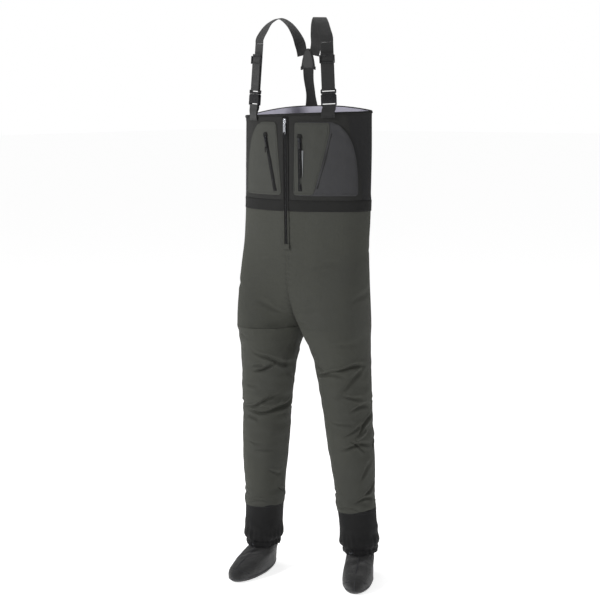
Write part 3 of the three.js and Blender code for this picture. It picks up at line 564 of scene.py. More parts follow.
def row_of(name, lines, material, slot, motion, spacing, length, width, thickness, detail=1):
    """Beads along lines. Each line is (points, facing directions), in millimetres above the soles."""
    vertices, edges, facing = [], [], []
    for points, normals in lines:
        first = len(vertices)
        vertices.extend(in_frame(points).tolist())
        edges.extend((first + i, first + i + 1) for i in range(len(points) - 1))
        facing.extend(np.broadcast_to(normals, np.shape(points)).tolist())
    mesh = bpy.data.meshes.new(name)
    mesh.from_pydata(vertices, edges, [])
    mesh.attributes.new("facing", "FLOAT_VECTOR", "POINT").data.foreach_set("vector", np.ravel(facing))
    obj = bpy.data.objects.new(name, mesh)
    bpy.context.scene.collection.objects.link(obj)
    modifier = obj.modifiers.new("row", "NODES")
    modifier.node_group = REPEATER
    values = {"Spacing": spacing, "Length": length, "Width": width, "Thickness": thickness,
              "Detail": detail, "Material": material}
    for item in REPEATER.interface.items_tree:
        if item.in_out == "INPUT" and item.name in values:
            modifier[item.identifier] = values[item.name]
    bake(obj)
    return settle(obj, slot, motion)


def stitches(name, lines, slot, motion, thread=None):
    return row_of(name, lines, thread or THREAD, slot, motion, 0.0034, 0.0026, 0.0007, 0.0006)


def tube(name, points, radius, material, sides=10, normals=None, flat=1.0):
    """A smooth round or flattened cord through points, with closed ends."""
    points = np.asarray(points, float)
    tangent = np.gradient(points, axis=0)
    tangent /= np.linalg.norm(tangent, axis=1, keepdims=True)
    up = np.broadcast_to([0, 0, 1.0] if normals is None else normals, points.shape)
    side = np.cross(tangent, up)
    side /= np.maximum(np.linalg.norm(side, axis=1, keepdims=True), 1e-9)
    lift = np.cross(side, tangent)
    angle = np.arange(sides) / sides * 2 * math.pi
    size = np.broadcast_to(radius, len(points)).astype(float).copy()
    ring = (side[:, None] * np.cos(angle)[None, :, None]
            + lift[:, None] * np.sin(angle)[None, :, None] * flat) * size[:, None, None]
    grid = points[:, None] + ring
    ends = [np.broadcast_to(points[k], (1, sides, 3)) + ring[k][None] * 0.02 for k in (0, -1)]
    return sheet(name, np.concatenate([ends[0], grid, ends[1]]), material, closed=True, centre=None)


# ---------------------------------------------------------------- folds of the legs
# Each crease runs between two places (turn, height) on the leg. depth is how far it sinks, width how
# broad it is, both in millimetres. A negative depth is a raised roll.
CREASES = {
    "right": [
        (0.225, 706, 0.04, 672, 3.6, 9), (0.236, 652, 0.12, 678, 4.2, 8), (0.25, 668, 0.19, 672, 2.2, 6),
        (0.285, 534, 0.10, 572, 3.8, 8), (0.245, 516, -0.03, 541, 4.6, 9), (0.19, 545, 0.06, 556, -2.6, 10),
        (0.29, 505, 0.21, 503, 2.2, 7), (0.26, 425, 0.18, 424, 1.6, 7), (0.22, 398, 0.12, 402, 1.4, 6),
        (0.06, 770, 0.03, 640, 2.8, 16), (0.12, 330, 0.02, 318, 1.6, 8), (0.02, 268, -0.06, 258, 2.0, 7),
        (0.30, 610, 0.22, 604, 1.6, 9), (0.52, 560, 0.66, 572, 3.0, 9), (0.9, 520, 0.7, 545, 3.4, 9),
        (0.62, 590, 0.8, 604, 3.0, 9), (0.66, 500, 0.82, 488, 2.6, 8), (0.38, 548, 0.5, 536, 2.4, 9),
        (0.72, 700, 0.9, 720, 3.0, 11), (0.6, 690, 0.75, 676, 2.6, 10), (0.3, 262, 0.42, 250, 1.8, 8),
        (0.16, 238, 0.3, 232, 1.6, 6), (0.7, 250, 0.9, 240, 2.2, 7), (0.5, 236, 0.66, 246, 1.8, 7),
    ],
    "left": [
        (0.15, 650, 0.31, 653, 4.4, 8), (0.25, 662, 0.45, 682, 4.4, 8), (0.13, 672, 0.21, 668, 2.2, 7),
        (0.45, 662, 0.31, 592, 3.4, 13), (0.41, 476, 0.54, 522, 4.2, 8), (0.29, 425, 0.47, 436, 3.4, 8),
        (0.36, 440, 0.44, 414, 2.8, 7), (0.32, 468, 0.44, 492, 2.2, 8), (0.39, 455, 0.47, 470, -2.2, 8),
        (0.24, 505, 0.36, 498, 1.8, 8), (0.38, 545, 0.50, 552, 2.6, 9), (0.34, 586, 0.44, 576, 2.4, 8),
        (0.42, 272, 0.55, 306, 3.0, 9), (0.35, 256, 0.5, 262, 2.6, 7), (0.40, 330, 0.48, 372, 2.4, 10),
        (0.2, 236, 0.34, 230, 1.6, 6), (0.52, 420, 0.62, 450, 3.0, 9), (0.6, 560, 0.76, 548, 3.2, 9),
        (0.62, 510, 0.8, 528, 3.4, 9), (0.68, 590, 0.86, 604, 2.8, 9), (0.58, 640, 0.74, 668, 2.8, 11),
        (0.8, 700, 0.93, 724, 2.8, 11), (0.66, 300, 0.82, 284, 2.4, 9), (0.6, 246, 0.76, 238, 2.2, 7),
        (0.09, 760, 0.14, 640, 1.8, 16), (0.04, 262, 0.12, 270, 2.0, 7),
    ],
}


def crease_field(creases, turn, z, girth):
    """Sum of the creases at each place: a sharp valley with a soft roll on both sides."""
    total = np.zeros(np.broadcast(turn, z).shape)
    for from_turn, from_z, to_turn, to_z, depth, width in creases:
        run = np.array([(to_turn - from_turn) * girth, to_z - from_z], float)
        length = np.hypot(*run)
        run /= length
        middle_turn, middle_z = (from_turn + to_turn) / 2, (from_z + to_z) / 2
        aside = ((turn - middle_turn + 0.5) % 1.0 - 0.5) * girth
        rise = z - middle_z
        along = aside * run[0] + rise * run[1]
        across = -aside * run[1] + rise * run[0]
        across = across + along ** 2 * 0.0016 + 3 * np.sin(along / 17 + from_z)
        share = across / (width * lerp(0.7, 1.15, smooth(0.5 + along / length)))
        ends = np.exp(-(along / (length * 0.56)) ** 4)
        total -= depth * ends * (1 - 1.3 * share ** 2) * np.exp(-share ** 2)
    return total


def leg_relief(name, turn, z, points):
    """How far the cloth of a leg stands off its plain shape, in millimetres."""
    creases = crease_field(CREASES[name], turn, z, 2 * math.pi * 86)
    seed = 3 if name == "right" else 8
    broad = waves(points * [1, 1, 0.55], 150, seed) * 1.5
    fine = waves(points, 46, seed + 1) * 0.42
    knee = np.exp(-((z - 560) / 150) ** 2) * waves(points * [0.6, 0.6, 1.6], 60, seed + 2) * 0.9
    blouse = 2.6 * np.exp(-((z - 232) / 20) ** 2) + waves(points * [1, 1, 2.2], 50, seed + 3) \
        * 1.1 * np.exp(-((z - 240) / 36) ** 2)
    inside = np.exp(-((((turn + 0.5) % 1.0) - 0.5) / 0.13) ** 2)
    inner = inside * (2.6 * np.exp(-((z - 640) / 62) ** 2) - 6.6 * smooth((z - 700) / 60))
    return creases * 1.85 + broad + fine + knee + blouse + inner - 1.0


def leg_grid(name, z, turn):
    """Points of a leg's cloth on a grid of heights and turns, with their normals."""
    leg = LEGS[name]
    z, turn = np.meshgrid(z, turn, indexing="ij")
    points = leg_point(leg, turn, z)
    normals = outward(grid_normals(points, True), points, axis_of(leg, z))
    quiet = smooth((LEG_SPLIT + 62 - z) / 40)
    moved = points + normals * (leg_relief(name, turn, z, points) * np.maximum(quiet, 0.25))[..., None]
    return moved, outward(grid_normals(moved, True), moved, axis_of(leg, z))


def axis_of(leg, z):
    return np.stack([leg["side"] * station(leg["path"], 1, z), np.full(z.shape, leg["y"]), z], -1)


def hip_grid(name, u, rows):
    """Half of the trunk with the top of its leg. rows run 0 at the band, 1 where the halves start to
    draw together, 2 at the crotch and 3 at the split."""
    leg = LEGS[name]
    rows, u = np.meshgrid(rows, u, indexing="ij")
    side = leg["side"]
    around = lerp(0.0006, math.pi - 0.0006, u) * side
    high = torso_point(around, lerp(BAND_TOP - BAND_HEIGHT, RISE_TOP, np.clip(rows, 0, 1)))
    bend = np.clip(rows - 1, 0, 1) * math.pi / 2
    drop = np.sin(bend)
    share = lerp(1 - np.cos(bend), smooth(drop), np.sin(math.pi * u) ** 2)
    z = lerp(RISE_TOP, CROTCH, drop)
    middle = lerp(torso_point(around, z), leg_point(leg, u, z), share[..., None])
    low = leg_point(leg, u, lerp(CROTCH, LEG_SPLIT, np.clip(rows - 2, 0, 1)))
    points = np.where((rows <= 1)[..., None], high, np.where((rows <= 2)[..., None], middle, low))
    normals = outward(grid_normals(points), points, [side * 90, -20, 900])
    tube_part = rows >= 2
    free = np.where(tube_part, smooth((CROTCH - points[..., 2]) / 50), 0)
    edge = np.minimum(u, 1 - u)
    mask = np.maximum(smooth(edge / 0.13), free)
    z = points[..., 2]
    relief = leg_relief(name, u, z, points) * np.maximum(smooth((LEG_SPLIT + 62 - z) / 40), 0.25)
    drape = waves(points * [1, 1, 0.35], 120, 21) * 1.3
    swag = crease_field(HIP_CREASES[name], u, z, 560)
    pucker = 0.8 * np.exp(-((edge - 0.012) / 0.014) ** 2) * np.sin(z / 2.9 + 2 * np.sin(z / 17)) \
        * smooth((z - CROTCH) / 40)
    total = (relief + drape * smooth((z - 760) / 90) + swag) * mask + pucker * smooth(edge / 0.006)
    moved = points + normals * total[..., None]
    return moved


HIP_CREASES = {
    "right": [(0.05, 838, 0.2, 872, 3.2, 12), (0.04, 812, 0.16, 800, 2.8, 11),
              (0.34, 905, 0.48, 930, 2.2, 15),
              (0.95, 850, 0.8, 880, 3.4, 13), (0.93, 815, 0.78, 800, 3.0, 12), (0.12, 1000, 0.26, 985, 1.4,
                                                                                14),
              (0.6, 1040, 0.74, 1020, 1.8, 14), (0.3, 760, 0.42, 778, 1.8, 12)],
    "left": [(0.05, 836, 0.2, 868, 3.0, 12), (0.05, 808, 0.18, 796, 2.6, 11), (0.4, 880, 0.54, 912, 2.4, 15),
             (0.95, 848, 0.8, 884, 3.4, 13), (0.93, 812, 0.78, 796, 3.0, 12), (0.16, 985, 0.28, 1000, 1.4,
                                                                               14),
             (0.58, 1030, 0.72, 1046, 1.8, 14), (0.3, 742, 0.44, 752, 1.8, 12)],
}


def build_legs(name):
    leg = LEGS[name]
    fine = 1
    side = leg["side"]
    hip_rows = np.concatenate([np.linspace(0, 1, int(26 * fine), endpoint=False),
                               np.linspace(1, 2, int(130 * fine), endpoint=False),
                               np.linspace(2, 3, int(34 * fine))])
    columns = int(200 * fine)
    points = hip_grid(name, np.linspace(0, 1, columns), hip_rows)
    grid = grid_normals(points)
    grid = outward(grid, points, [side * 90, -20, 900])
    closed = hip_rows >= 2.0
    joined = grid[:, 0] + grid[:, -1]
    joined /= np.linalg.norm(joined, axis=-1, keepdims=True)
    grid[closed, 0] = joined[closed]
    grid[closed, -1] = joined[closed]
    level = leg_grid(name, np.array([LEG_SPLIT + 1, LEG_SPLIT, LEG_SPLIT - 1]),
                     np.linspace(0, 1, columns)[:-1])[1][1]
    grid[-1] = np.concatenate([level, level[:1]])
    hip = sheet(f"hip_half_{name}", points, SHELL, centre=[side * 90, -20, 900], normals=grid)
    centre_x = side * 101
    start = in_frame([centre_x, leg["y"], HIP_BEND[0] + 6])
    end = in_frame([centre_x, leg["y"], HIP_BEND[1] - 14])
    settle(hip, "shell_fabric", ("trunk", f"thigh_{name}", start, end),
           f"lower_body_{name}", f"thigh_top_{name}")
    heights = np.linspace(LEG_SPLIT, GAITER_TOP - 6, int(250 * fine))
    turns = np.linspace(0, 1, columns)[:-1]
    moved, normals = leg_grid(name, heights, turns)
    normals[0] = level
    lower = sheet(f"leg_{name}", moved, SHELL, closed=True, centre=[side * 130, leg["y"], 450],
                  normals=normals)
    start = in_frame([side * 110, leg["y"], KNEE_BEND[0] - 12])
    end = in_frame([side * 140, leg["y"], KNEE_BEND[1] + 4])
    start[0] = end[0] = 0
    settle(lower, "shell_fabric", (f"thigh_{name}", f"shin_{name}", start, end),
           f"thigh_{name}", f"knee_{name}", f"shin_{name}")


# ---------------------------------------------------------------- gaiters and booties
def build_gaiter(name):
    leg = LEGS[name]
    seed = 31 if name == "right" else 37
    z, turn = np.meshgrid(np.linspace(GAITER_TOP + 1, HEM_BOTTOM, 110), np.linspace(0, 1, 193)[:-1],
                          indexing="ij")
    points = leg_point(leg, turn, z)
    normals = outward(grid_normals(points, True), points, axis_of(leg, z))
    hem_top = HEM_BOTTOM + 16
    gather = smooth((168 - z) / 60)
    pleats = np.sin(2 * math.pi * 15 * turn + 2.6 * np.sin(2 * math.pi * 3 * turn + seed) + 0.02 * z)
    pleats += 0.6 * np.sin(2 * math.pi * 23 * turn + seed)
    neck = -3.2 * np.exp(-((z - hem_top) / 5) ** 2)
    frill = np.sin(2 * math.pi * 26 * turn + seed) * 0.9 * smooth((hem_top - z) / 10)
    bulge = 3.4 * np.exp(-((z - 118) / 16) ** 2) - 1.2 * smooth((z - 150) / 40)
    sag = waves(points * [1, 1, 1.4], 44, seed) * 1.2 * smooth((200 - z) / 50)
    lip = 1.6 - 1.4 * smooth((z - GAITER_TOP + 1.5) / 2)
    # a big soft overhang where the cloth bags out over the elastic, a little more on the inner side
    bag = 2.5 * np.exp(-((z - 112) / 10) ** 2) * (0.5 + 0.5 * np.cos(2 * math.pi * (turn - 0.02)))
    relief = pleats * 1.15 * gather + neck + frill + bulge + sag + lip + bag
    cloth_piece = sheet(f"gaiter_{name}", points + normals * relief[..., None], GAITER, closed=True,
                        centre=[leg["side"] * station(leg["path"], 1, 140), leg["y"], 140])
    middle = leg["side"] * station(leg["path"], 1, 105)
    start = in_frame([middle, leg["y"], ANKLE_BEND[0]])
    end = in_frame([middle, leg["y"], ANKLE_BEND[1] + 2])
    motion = (f"shin_{name}", f"foot_{name}", start, end)
    settle(cloth_piece, "gaiter_fabric", motion, f"gaiter_{name}", f"gaiter_hem_{name}")
    ring = np.linspace(0, 1, 145)
    lines = []
    for height, lift in ((GAITER_TOP - 3, 2.2), (GAITER_TOP - 8, 2.0)):
        at = leg_point(leg, ring, height)
        facing = at - axis_of(leg, np.full(len(ring), height))
        facing /= np.linalg.norm(facing, axis=-1, keepdims=True)
        lines.append((at + facing * lift, facing))
    stitches(f"gaiter_top_stitching_{name}", lines, "gaiter_fabric", f"shin_{name}", THREAD_PALE)
    copied(f"lace_hook_{name}", [f"lace_hook_{name}"], DARK_METAL, "metal", f"foot_{name}", 0.0005)
    front = leg_point(leg, 0.25, HEM_BOTTOM + 20)
    tab_points = [front + [0, -3.4, 10], front + [0, -4.2, 4], front + [0, -3.4, -3], front + [0, -2.6, -9]]
    tab = strap(f"lace_hook_tab_{name}", [(p, (1, 0, 0)) for p in tab_points], 10, 1.4, GAITER, 12)
    settle(tab, "gaiter_fabric", f"foot_{name}")


def foot_point(u, z):
    ahead, behind, half = station(FOOT, 1, z), station(FOOT, 2, z), station(FOOT, 3, z)
    angle = u * 2 * math.pi
    reach = (ahead + behind) / 2
    long = np.clip((reach - 60) / 60, 0, 1)
    ball = 1 + 0.1 * long * np.cos(angle) - 0.12 * long * np.maximum(0, -np.cos(angle))
    return np.stack([half * ball * np.sin(angle), (behind - ahead) / 2 - reach * np.cos(angle), z], -1)


def foot_frame(name, points):
    leg = LEGS[name]
    turn = math.radians(leg["toe_out"])
    x, y = points[..., 0], points[..., 1]
    centre = leg["side"] * station(leg["path"], 1, HEM_BOTTOM)
    return np.stack([centre + x * math.cos(turn) - y * math.sin(turn),
                     leg["y"] + x * math.sin(turn) + y * math.cos(turn), points[..., 2]], -1)


def bootie_grid(name, u, z):
    """The bootie's skin: a shaft above the ankle drawn smoothly into the foot below it."""
    leg = LEGS[name]
    z, u = np.meshgrid(z, u, indexing="ij")
    foot = foot_frame(name, foot_point(u, np.minimum(z, FOOT_TOP)))
    angle = u * 2 * math.pi + math.radians(leg["toe_out"])
    inset = 7.0
    shaft_x = leg["side"] * station(leg["path"], 1, z) + (station(LEG, 1, z) - inset) * np.sin(angle)
    shaft_y = leg["y"] - (station(LEG, 2, z) - inset) * np.cos(angle)
    shaft = np.stack([shaft_x, shaft_y, z], -1)
    foot[..., 2] = z
    points = lerp(foot, shaft, smooth((z - FOOT_TOP + 6) / 22)[..., None])
    middle = points.mean(1, keepdims=True)
    normals = outward(grid_normals(points, True), points, middle)
    seed = 51 if name == "right" else 57
    front = np.maximum(0, np.cos(u * 2 * math.pi)) ** 2
    ankle = np.exp(-((z - 72) / 20) ** 2) * (0.4 + 0.9 * front)
    creases = crease_field([(-0.12, 82, 0.12, 86, 2.4, 5), (-0.1, 66, 0.1, 70, 1.8, 5),
                            (0.15, 74, 0.3, 90, 2.0, 6),
                            (-0.15, 74, -0.3, 88, 2.0, 6), (0.4, 40, 0.6, 44, 1.2, 6)], u, z, 330)
    relief = waves(points, 30, seed) * 0.9 * ankle + waves(points, 60, seed + 1) * 0.8 + creases
    relief *= smooth((z - 1) / 8)
    return points + normals * relief[..., None]


def build_bootie(name):
    leg = LEGS[name]
    u = np.linspace(0, 1, 161)[:-1]
    z = np.concatenate([np.linspace(150, 60, 70, endpoint=False), np.linspace(60, 6, 60, endpoint=False),
                        [5, 4, 3, 2.2, 1.4, 0.8, 0.35, 0.0]])
    points = bootie_grid(name, u, z)
    middle = points[-1].mean(0)
    tuck = [points[-1] + (middle - points[-1]) * share for share in (0.03, 0.1, 0.3, 0.6, 0.9)]
    points = np.concatenate([points, np.stack(tuck)])
    points[-5:, :, 2] = 0.0
    piece = sheet(f"bootie_{name}", points, NEOPRENE, closed=True, centre=middle + [0, 0, 60], cap=True)
    at = leg["side"] * station(leg["path"], 1, 105)
    start, end = in_frame([at, leg["y"], ANKLE_BEND[0]]), in_frame([at, leg["y"], ANKLE_BEND[1] + 2])
    settle(piece, "neoprene", (f"shin_{name}", f"foot_{name}", start, end),
           f"bootie_shaft_{name}", f"bootie_upper_{name}", f"bootie_sole_{name}")
    dense = np.linspace(0, 1, 220)
    lines = []
    edge = bootie_grid(name, dense[:-1], np.array([14.0, 12.0, 10.0]))
    edge = np.concatenate([edge, edge[:, :1]], 1)
    facing = edge[1] - [middle[0], middle[1], 12]
    facing[:, 2] = 0
    facing /= np.linalg.norm(facing, axis=-1, keepdims=True)
    lines.append((edge[1] + facing * 0.5, facing))
    heights = np.linspace(80, 16, 60)
    for turn in (0.0, 0.5):
        seam = np.stack([bootie_grid(name, np.array([turn, turn + 0.01]), np.array([h + 1, h, h - 1]))[1, 0]
                         for h in heights])
        out = seam - [middle[0], middle[1], 0]
        out[:, 2] = 14
        out /= np.linalg.norm(out, axis=-1, keepdims=True)
        lines.append((seam + out * 0.4, out))
    cap_u = np.linspace(-0.13, 0.13, 60)
    toe = np.stack([bootie_grid(name, np.array([t, t + 0.005]), np.array([h + 1, h, h - 1]))[1, 0]
                    for t, h in zip(cap_u, 24 + 17 * np.cos(cap_u / 0.13 * math.pi / 2))])
    out = np.broadcast_to(foot_frame(name, np.array([0, -0.75, 0.0])) - foot_frame(name, np.zeros(3)),
                          toe.shape).copy()
    out[:, 2] = 0.6
    lines.append((toe + out * 0.5, out))
    row_of(f"bootie_seams_{name}", lines, THREAD_PALE, "neoprene", f"foot_{name}", 0.0021, 0.0017, 0.0042,
           0.0012)


# ---------------------------------------------------------------- bib
def front_to_side(v):
    return 74 - 16 * smooth(v) - 2 * v


SIDE_TO_BACK = 122.0


def panel_grid(edge_a, edge_b, low, high, rows, columns, out=0.0, seed=61, soft=0.7):
    """A stretch of the torso between two edges (degrees at a share v of the height)."""
    v, u = np.meshgrid(np.linspace(0, 1, rows), np.linspace(0, 1, columns), indexing="ij")
    angle = np.radians(lerp(edge_a(v), edge_b(v), u))
    z = lerp(low(angle), high(angle), v)
    points = torso_point(angle, z)
    normals = outward(grid_normals(points), points, [0, -30, 1300])
    edges = smooth(np.minimum.reduce([u, 1 - u, v, 1 - v]) / 0.08)
    relief = out + waves(points * [1, 1, 0.5], 130, seed) * soft * edges
    return points + normals * np.asarray(relief)[..., None], normals, u, v


def band_top(angle):
    return np.full(np.shape(angle), BAND_TOP)


def rim_under(angle):
    return rim_height(angle) - BINDING + 1


def build_bib():
    middle = [0, -30, 1300]
    for name, side in (("right", -1), ("left", 1)):
        seed = 61 + side
        front = panel_grid(lambda v, s=side: 0 * v, lambda v, s=side: s * front_to_side(v),
                           band_top, rim_under, 90, 90, seed=seed)[0]
        settle(sheet(f"bib_front_{name}", front, BIB, centre=middle), "bib_fabric", "trunk",
               f"bib_front_{name}")
        flank = panel_grid(lambda v, s=side: s * front_to_side(v), lambda v,
                           s=side: s * (SIDE_TO_BACK + 0 * v),
                           band_top, rim_under, 90, 70, seed=seed + 4, soft=1.0)[0]
        settle(sheet(f"bib_side_{name}", flank, SIDE, centre=middle), "side_fabric", "trunk",
               f"bib_side_{name}")
    back = panel_grid(lambda v: SIDE_TO_BACK + 0 * v, lambda v: 360 - SIDE_TO_BACK + 0 * v,
                      band_top, rim_under, 90, 110, seed=71, soft=1.0)[0]
    settle(sheet("bib_back", back, SIDE, centre=middle), "side_fabric", "trunk", "bib_back")
    angle = np.linspace(0, 2 * math.pi, 361)[:-1]
    v, a = np.meshgrid(np.linspace(0, 1, 60), angle, indexing="ij")
    z = lerp(BAND_TOP - BAND_HEIGHT + 4, rim_height(a) - 3, v)
    base = torso_point(a, z)
    normals = outward(grid_normals(base, True), base, [0, -30, 1300])
    inner = base - normals * (4.8 + 0.8 * waves(base, 70, 77) * smooth((1 - v) / 0.1))[..., None]
    lining = sheet("bib_lining", inner, LINING, closed=True, centre=middle, inward=True)
    settle(lining, "bib_fabric", "trunk")
    # the binding folds over the rim
    profile = [(-0.2, -BINDING), (1.5, -BINDING + 0.4), (1.9, -BINDING + 1.5), (1.8, -3), (1.3, -1), (0.2, 0),
               (-1.6, 0), (-2.9, -1), (-3.3, -3), (-3.3, -BINDING + 1), (-2.9, -BINDING)]
    top = torso_point(angle, rim_height(angle))
    around = np.roll(top, -1, 0) - np.roll(top, 1, 0)
    out = np.cross(around, [0, 0, 1.0])
    out /= np.linalg.norm(out, axis=-1, keepdims=True)
    ripple = 1 + 0.12 * waves(top, 16, 79)
    rows = [top + out * (o * ripple)[:, None] + np.array([0, 0, h]) for o, h in profile]
    binding = sheet("rim_binding", np.stack(rows), BAND, closed=True, centre=None)
    settle(binding, "bib_fabric", "trunk", "rim_binding")
    # waist band, standing a little proud
    low = BAND_TOP - BAND_HEIGHT
    profile = [(-0.6, low - 0.6), (0.9, low - 0.2), (1.3, low + 1), (1.3, low + 8), (1.4, low + 16),
               (1.3, low + 25), (1.3, BAND_TOP - 1), (0.9, BAND_TOP + 0.2), (-0.6, BAND_TOP + 0.6)]
    rows = []
    for o, h in profile:
        ring = torso_point(angle, np.full(angle.shape, h))
        rows.append(ring + out * (o + 0.25 * waves(ring, 40, 83))[:, None])
    band = sheet("waist_band", np.stack(rows), BAND, closed=True, centre=[0, -20, 1168])
    settle(band, "bib_fabric", "trunk", "waist_band")
    lines = []
    for height, lift in ((low + 3.5, 1.7), (BAND_TOP - 3.5, 1.7)):
        ring = torso_point(angle, np.full(angle.shape, height))
        lines.append((np.concatenate([ring + out * lift, ring[:1] + out[:1] * lift]),
                      np.concatenate([out, out[:1]])))
    under = torso_point(angle, rim_height(angle) - BINDING + 2.2)
    lines.append((np.concatenate([under + out * 2.2, under[:1] + out[:1] * 2.2]),
                  np.concatenate([out, out[:1]])))
    stitches("bib_ring_stitching", lines, "bib_fabric", "trunk")
    lines = []
    v = np.linspace(0.01, 0.985, 80)
    for side in (-1, 1):
        for edge, shift in ((front_to_side, -1.1), (front_to_side, 1.1),
                            (lambda v: SIDE_TO_BACK + 0 * v, 1.1)):
            a = np.radians(side * (edge(v) + shift))
            at = torso_point(a, lerp(BAND_TOP, rim_under(a), v))
            facing = at - np.stack([0 * v, 0 * v - 30, at[:, 2]], -1)
            facing /= np.linalg.norm(facing, axis=-1, keepdims=True)
            lines.append((at + facing * 0.7, facing))
    stitches("bib_panel_stitching", lines, "side_fabric", "trunk")


POCKET_LOW, POCKET_HIGH = BAND_TOP + 14, RIM_FRONT - 24
POCKETS = {
    "right": (-1, lambda v: 6 + 4 * v, lambda v: 54 - 16 * v ** 2 - 9 * v ** 8),
    "left": (1, lambda v: 7 + 2.5 * v, lambda v: 68 - 12 * v ** 2 - 12 * v ** 6),
}


def raised(name, edges, low, high, height, material, slot, replaced=(), rows=90, columns=90, seed=91,
           corner=10.0):
    """A patch laid on the bib: flat on top, with turned-under edges and rounded corners."""
    v, u = np.meshgrid(np.linspace(0, 1, rows), np.linspace(0, 1, columns), indexing="ij")
    edge_a, edge_b = edges
    angle = np.radians(lerp(edge_a(v), edge_b(v), u))
    z = lerp(low, high, v)
    base = torso_point(angle, z)
    wide = np.linalg.norm(np.diff(base, axis=1), axis=-1).sum(1, keepdims=True)
    across = np.minimum(u, 1 - u) * wide
    along = np.minimum(v, 1 - v) * (high - low)
    # round the corners by drawing the grid's corner inwards
    near_a, near_b = np.clip(1 - across / corner, 0, 1), np.clip(1 - along / corner, 0, 1)
    pull = near_a * near_b * corner * 0.42
    toward = np.where(u < 0.5, 1.0, -1.0) * (pull / np.maximum(wide, 1))
    lift_v = np.where(v < 0.5, 1.0, -1.0) * pull / (high - low)
    angle = np.radians(lerp(edge_a(v), edge_b(v), np.clip(u + toward, 0, 1)))
    base = torso_point(angle, lerp(low, high, np.clip(v + lift_v, 0, 1)))
    normals = outward(grid_normals(base), base, [0, -30, 1300])
    edge = np.minimum(across, along)
    crown = np.sqrt(np.clip(1 - (1 - np.clip(edge / 2.4, 0, 1)) ** 2, 0, 1))
    relief = -0.6 + (height + 0.6) * crown + waves(base, 60, seed) * 0.7 * smooth((edge - 4) / 22)
    dip = -0.5 * np.exp(-((edge - 5.5) / 1.6) ** 2)
    points = base + normals * (relief + dip)[..., None]
    piece = sheet(name, points, material, centre=[0, -30, 1300])
    settle(piece, slot, "trunk", *replaced)
    inside = 5.5
    lines = []
    for at_row in (np.searchsorted(along[:, 0], inside), rows - 1 - np.searchsorted(along[:, 0], inside)):
        cut = slice(6, -6)
        lines.append((points[at_row, cut] + normals[at_row, cut] * 0.25, normals[at_row, cut]))
    for at_column in (np.searchsorted(across[rows // 2], inside),
                      columns - 1 - np.searchsorted(across[rows // 2], inside)):
        cut = slice(6, -6)
        lines.append((points[cut, at_column] + normals[cut, at_column] * 0.25, normals[cut, at_column]))
    stitches(f"{name}_stitching", lines, slot, "trunk")
    return points, normals


def build_pockets():
    side, inner, outer = POCKETS["right"]
    raised("pocket_right", (lambda v: side * inner(v), lambda v: side * outer(v)), POCKET_LOW, POCKET_HIGH,
           3.6,
           POCKET, "pocket_fabric", ("pocket_panel_right",), seed=91)
    _, inner, outer = POCKETS["left"]
    raised("pocket_left", (lambda v: inner(v) + 1, outer), POCKET_LOW, POCKET_HIGH, 3.2,
           POCKET_DIM, "pocket_fabric", ("pocket_panel_left",), seed=93)
    # the front layer of the left pocket ends in a slanting opening, with a bar of cloth across its top
    slant = lambda v: lerp(24.0, 39.5, np.clip(v / 0.86, 0, 1) ** 0.85)
    raised("pocket_left_front", (inner, slant), POCKET_LOW + 1, POCKET_HIGH - 1, 4.6,
           POCKET, "pocket_fabric", seed=95, corner=7.0)
    v = np.linspace(0.1, 0.84, 40)
    a = np.radians(slant(v) + 1.0)
    at = torso_point(a, lerp(POCKET_LOW, POCKET_HIGH, v))
    facing = at - np.stack([0 * v, 0 * v - 30, at[:, 2]], -1)
    facing /= np.linalg.norm(facing, axis=-1, keepdims=True)
    welt = tube("pocket_left_welt", at + facing * 4.0, 1.7, BIB, normals=facing, flat=0.6)
    settle(welt, "bib_fabric", "trunk")


# ---------------------------------------------------------------- zips
def zip_axes(node):
    """Middle, width, depth and length directions of a straight CAD zip, in millimetres above the soles."""
    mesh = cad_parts[node].data
    corners = np.array([v.co for v in mesh.vertices], float) / 0.001 + SHOULDER
    middle = (corners.min(0) + corners.max(0)) / 2
    middle = corners.mean(0)
    _, _, axes = np.linalg.svd(corners - middle)
    along, across, out = axes
    along = along * np.sign(along[2])
    across = across * np.sign(across[0])
    out = out * -np.sign(out[1])
    reach = np.abs((corners - middle) @ along).max()
    thick = np.abs((corners - middle) @ out).max()
    return middle, across, out, along, reach, thick


def line_on(zip_shape, x, lift, low=0.0, high=1.0, count=60):
    middle, across, out, along, reach, thick = zip_shape
    at = lerp(-reach, reach, np.linspace(low, high, count))
    points = middle + across * x + out * (lift - thick) + along * at[:, None]
    return points, np.broadcast_to(out, points.shape)


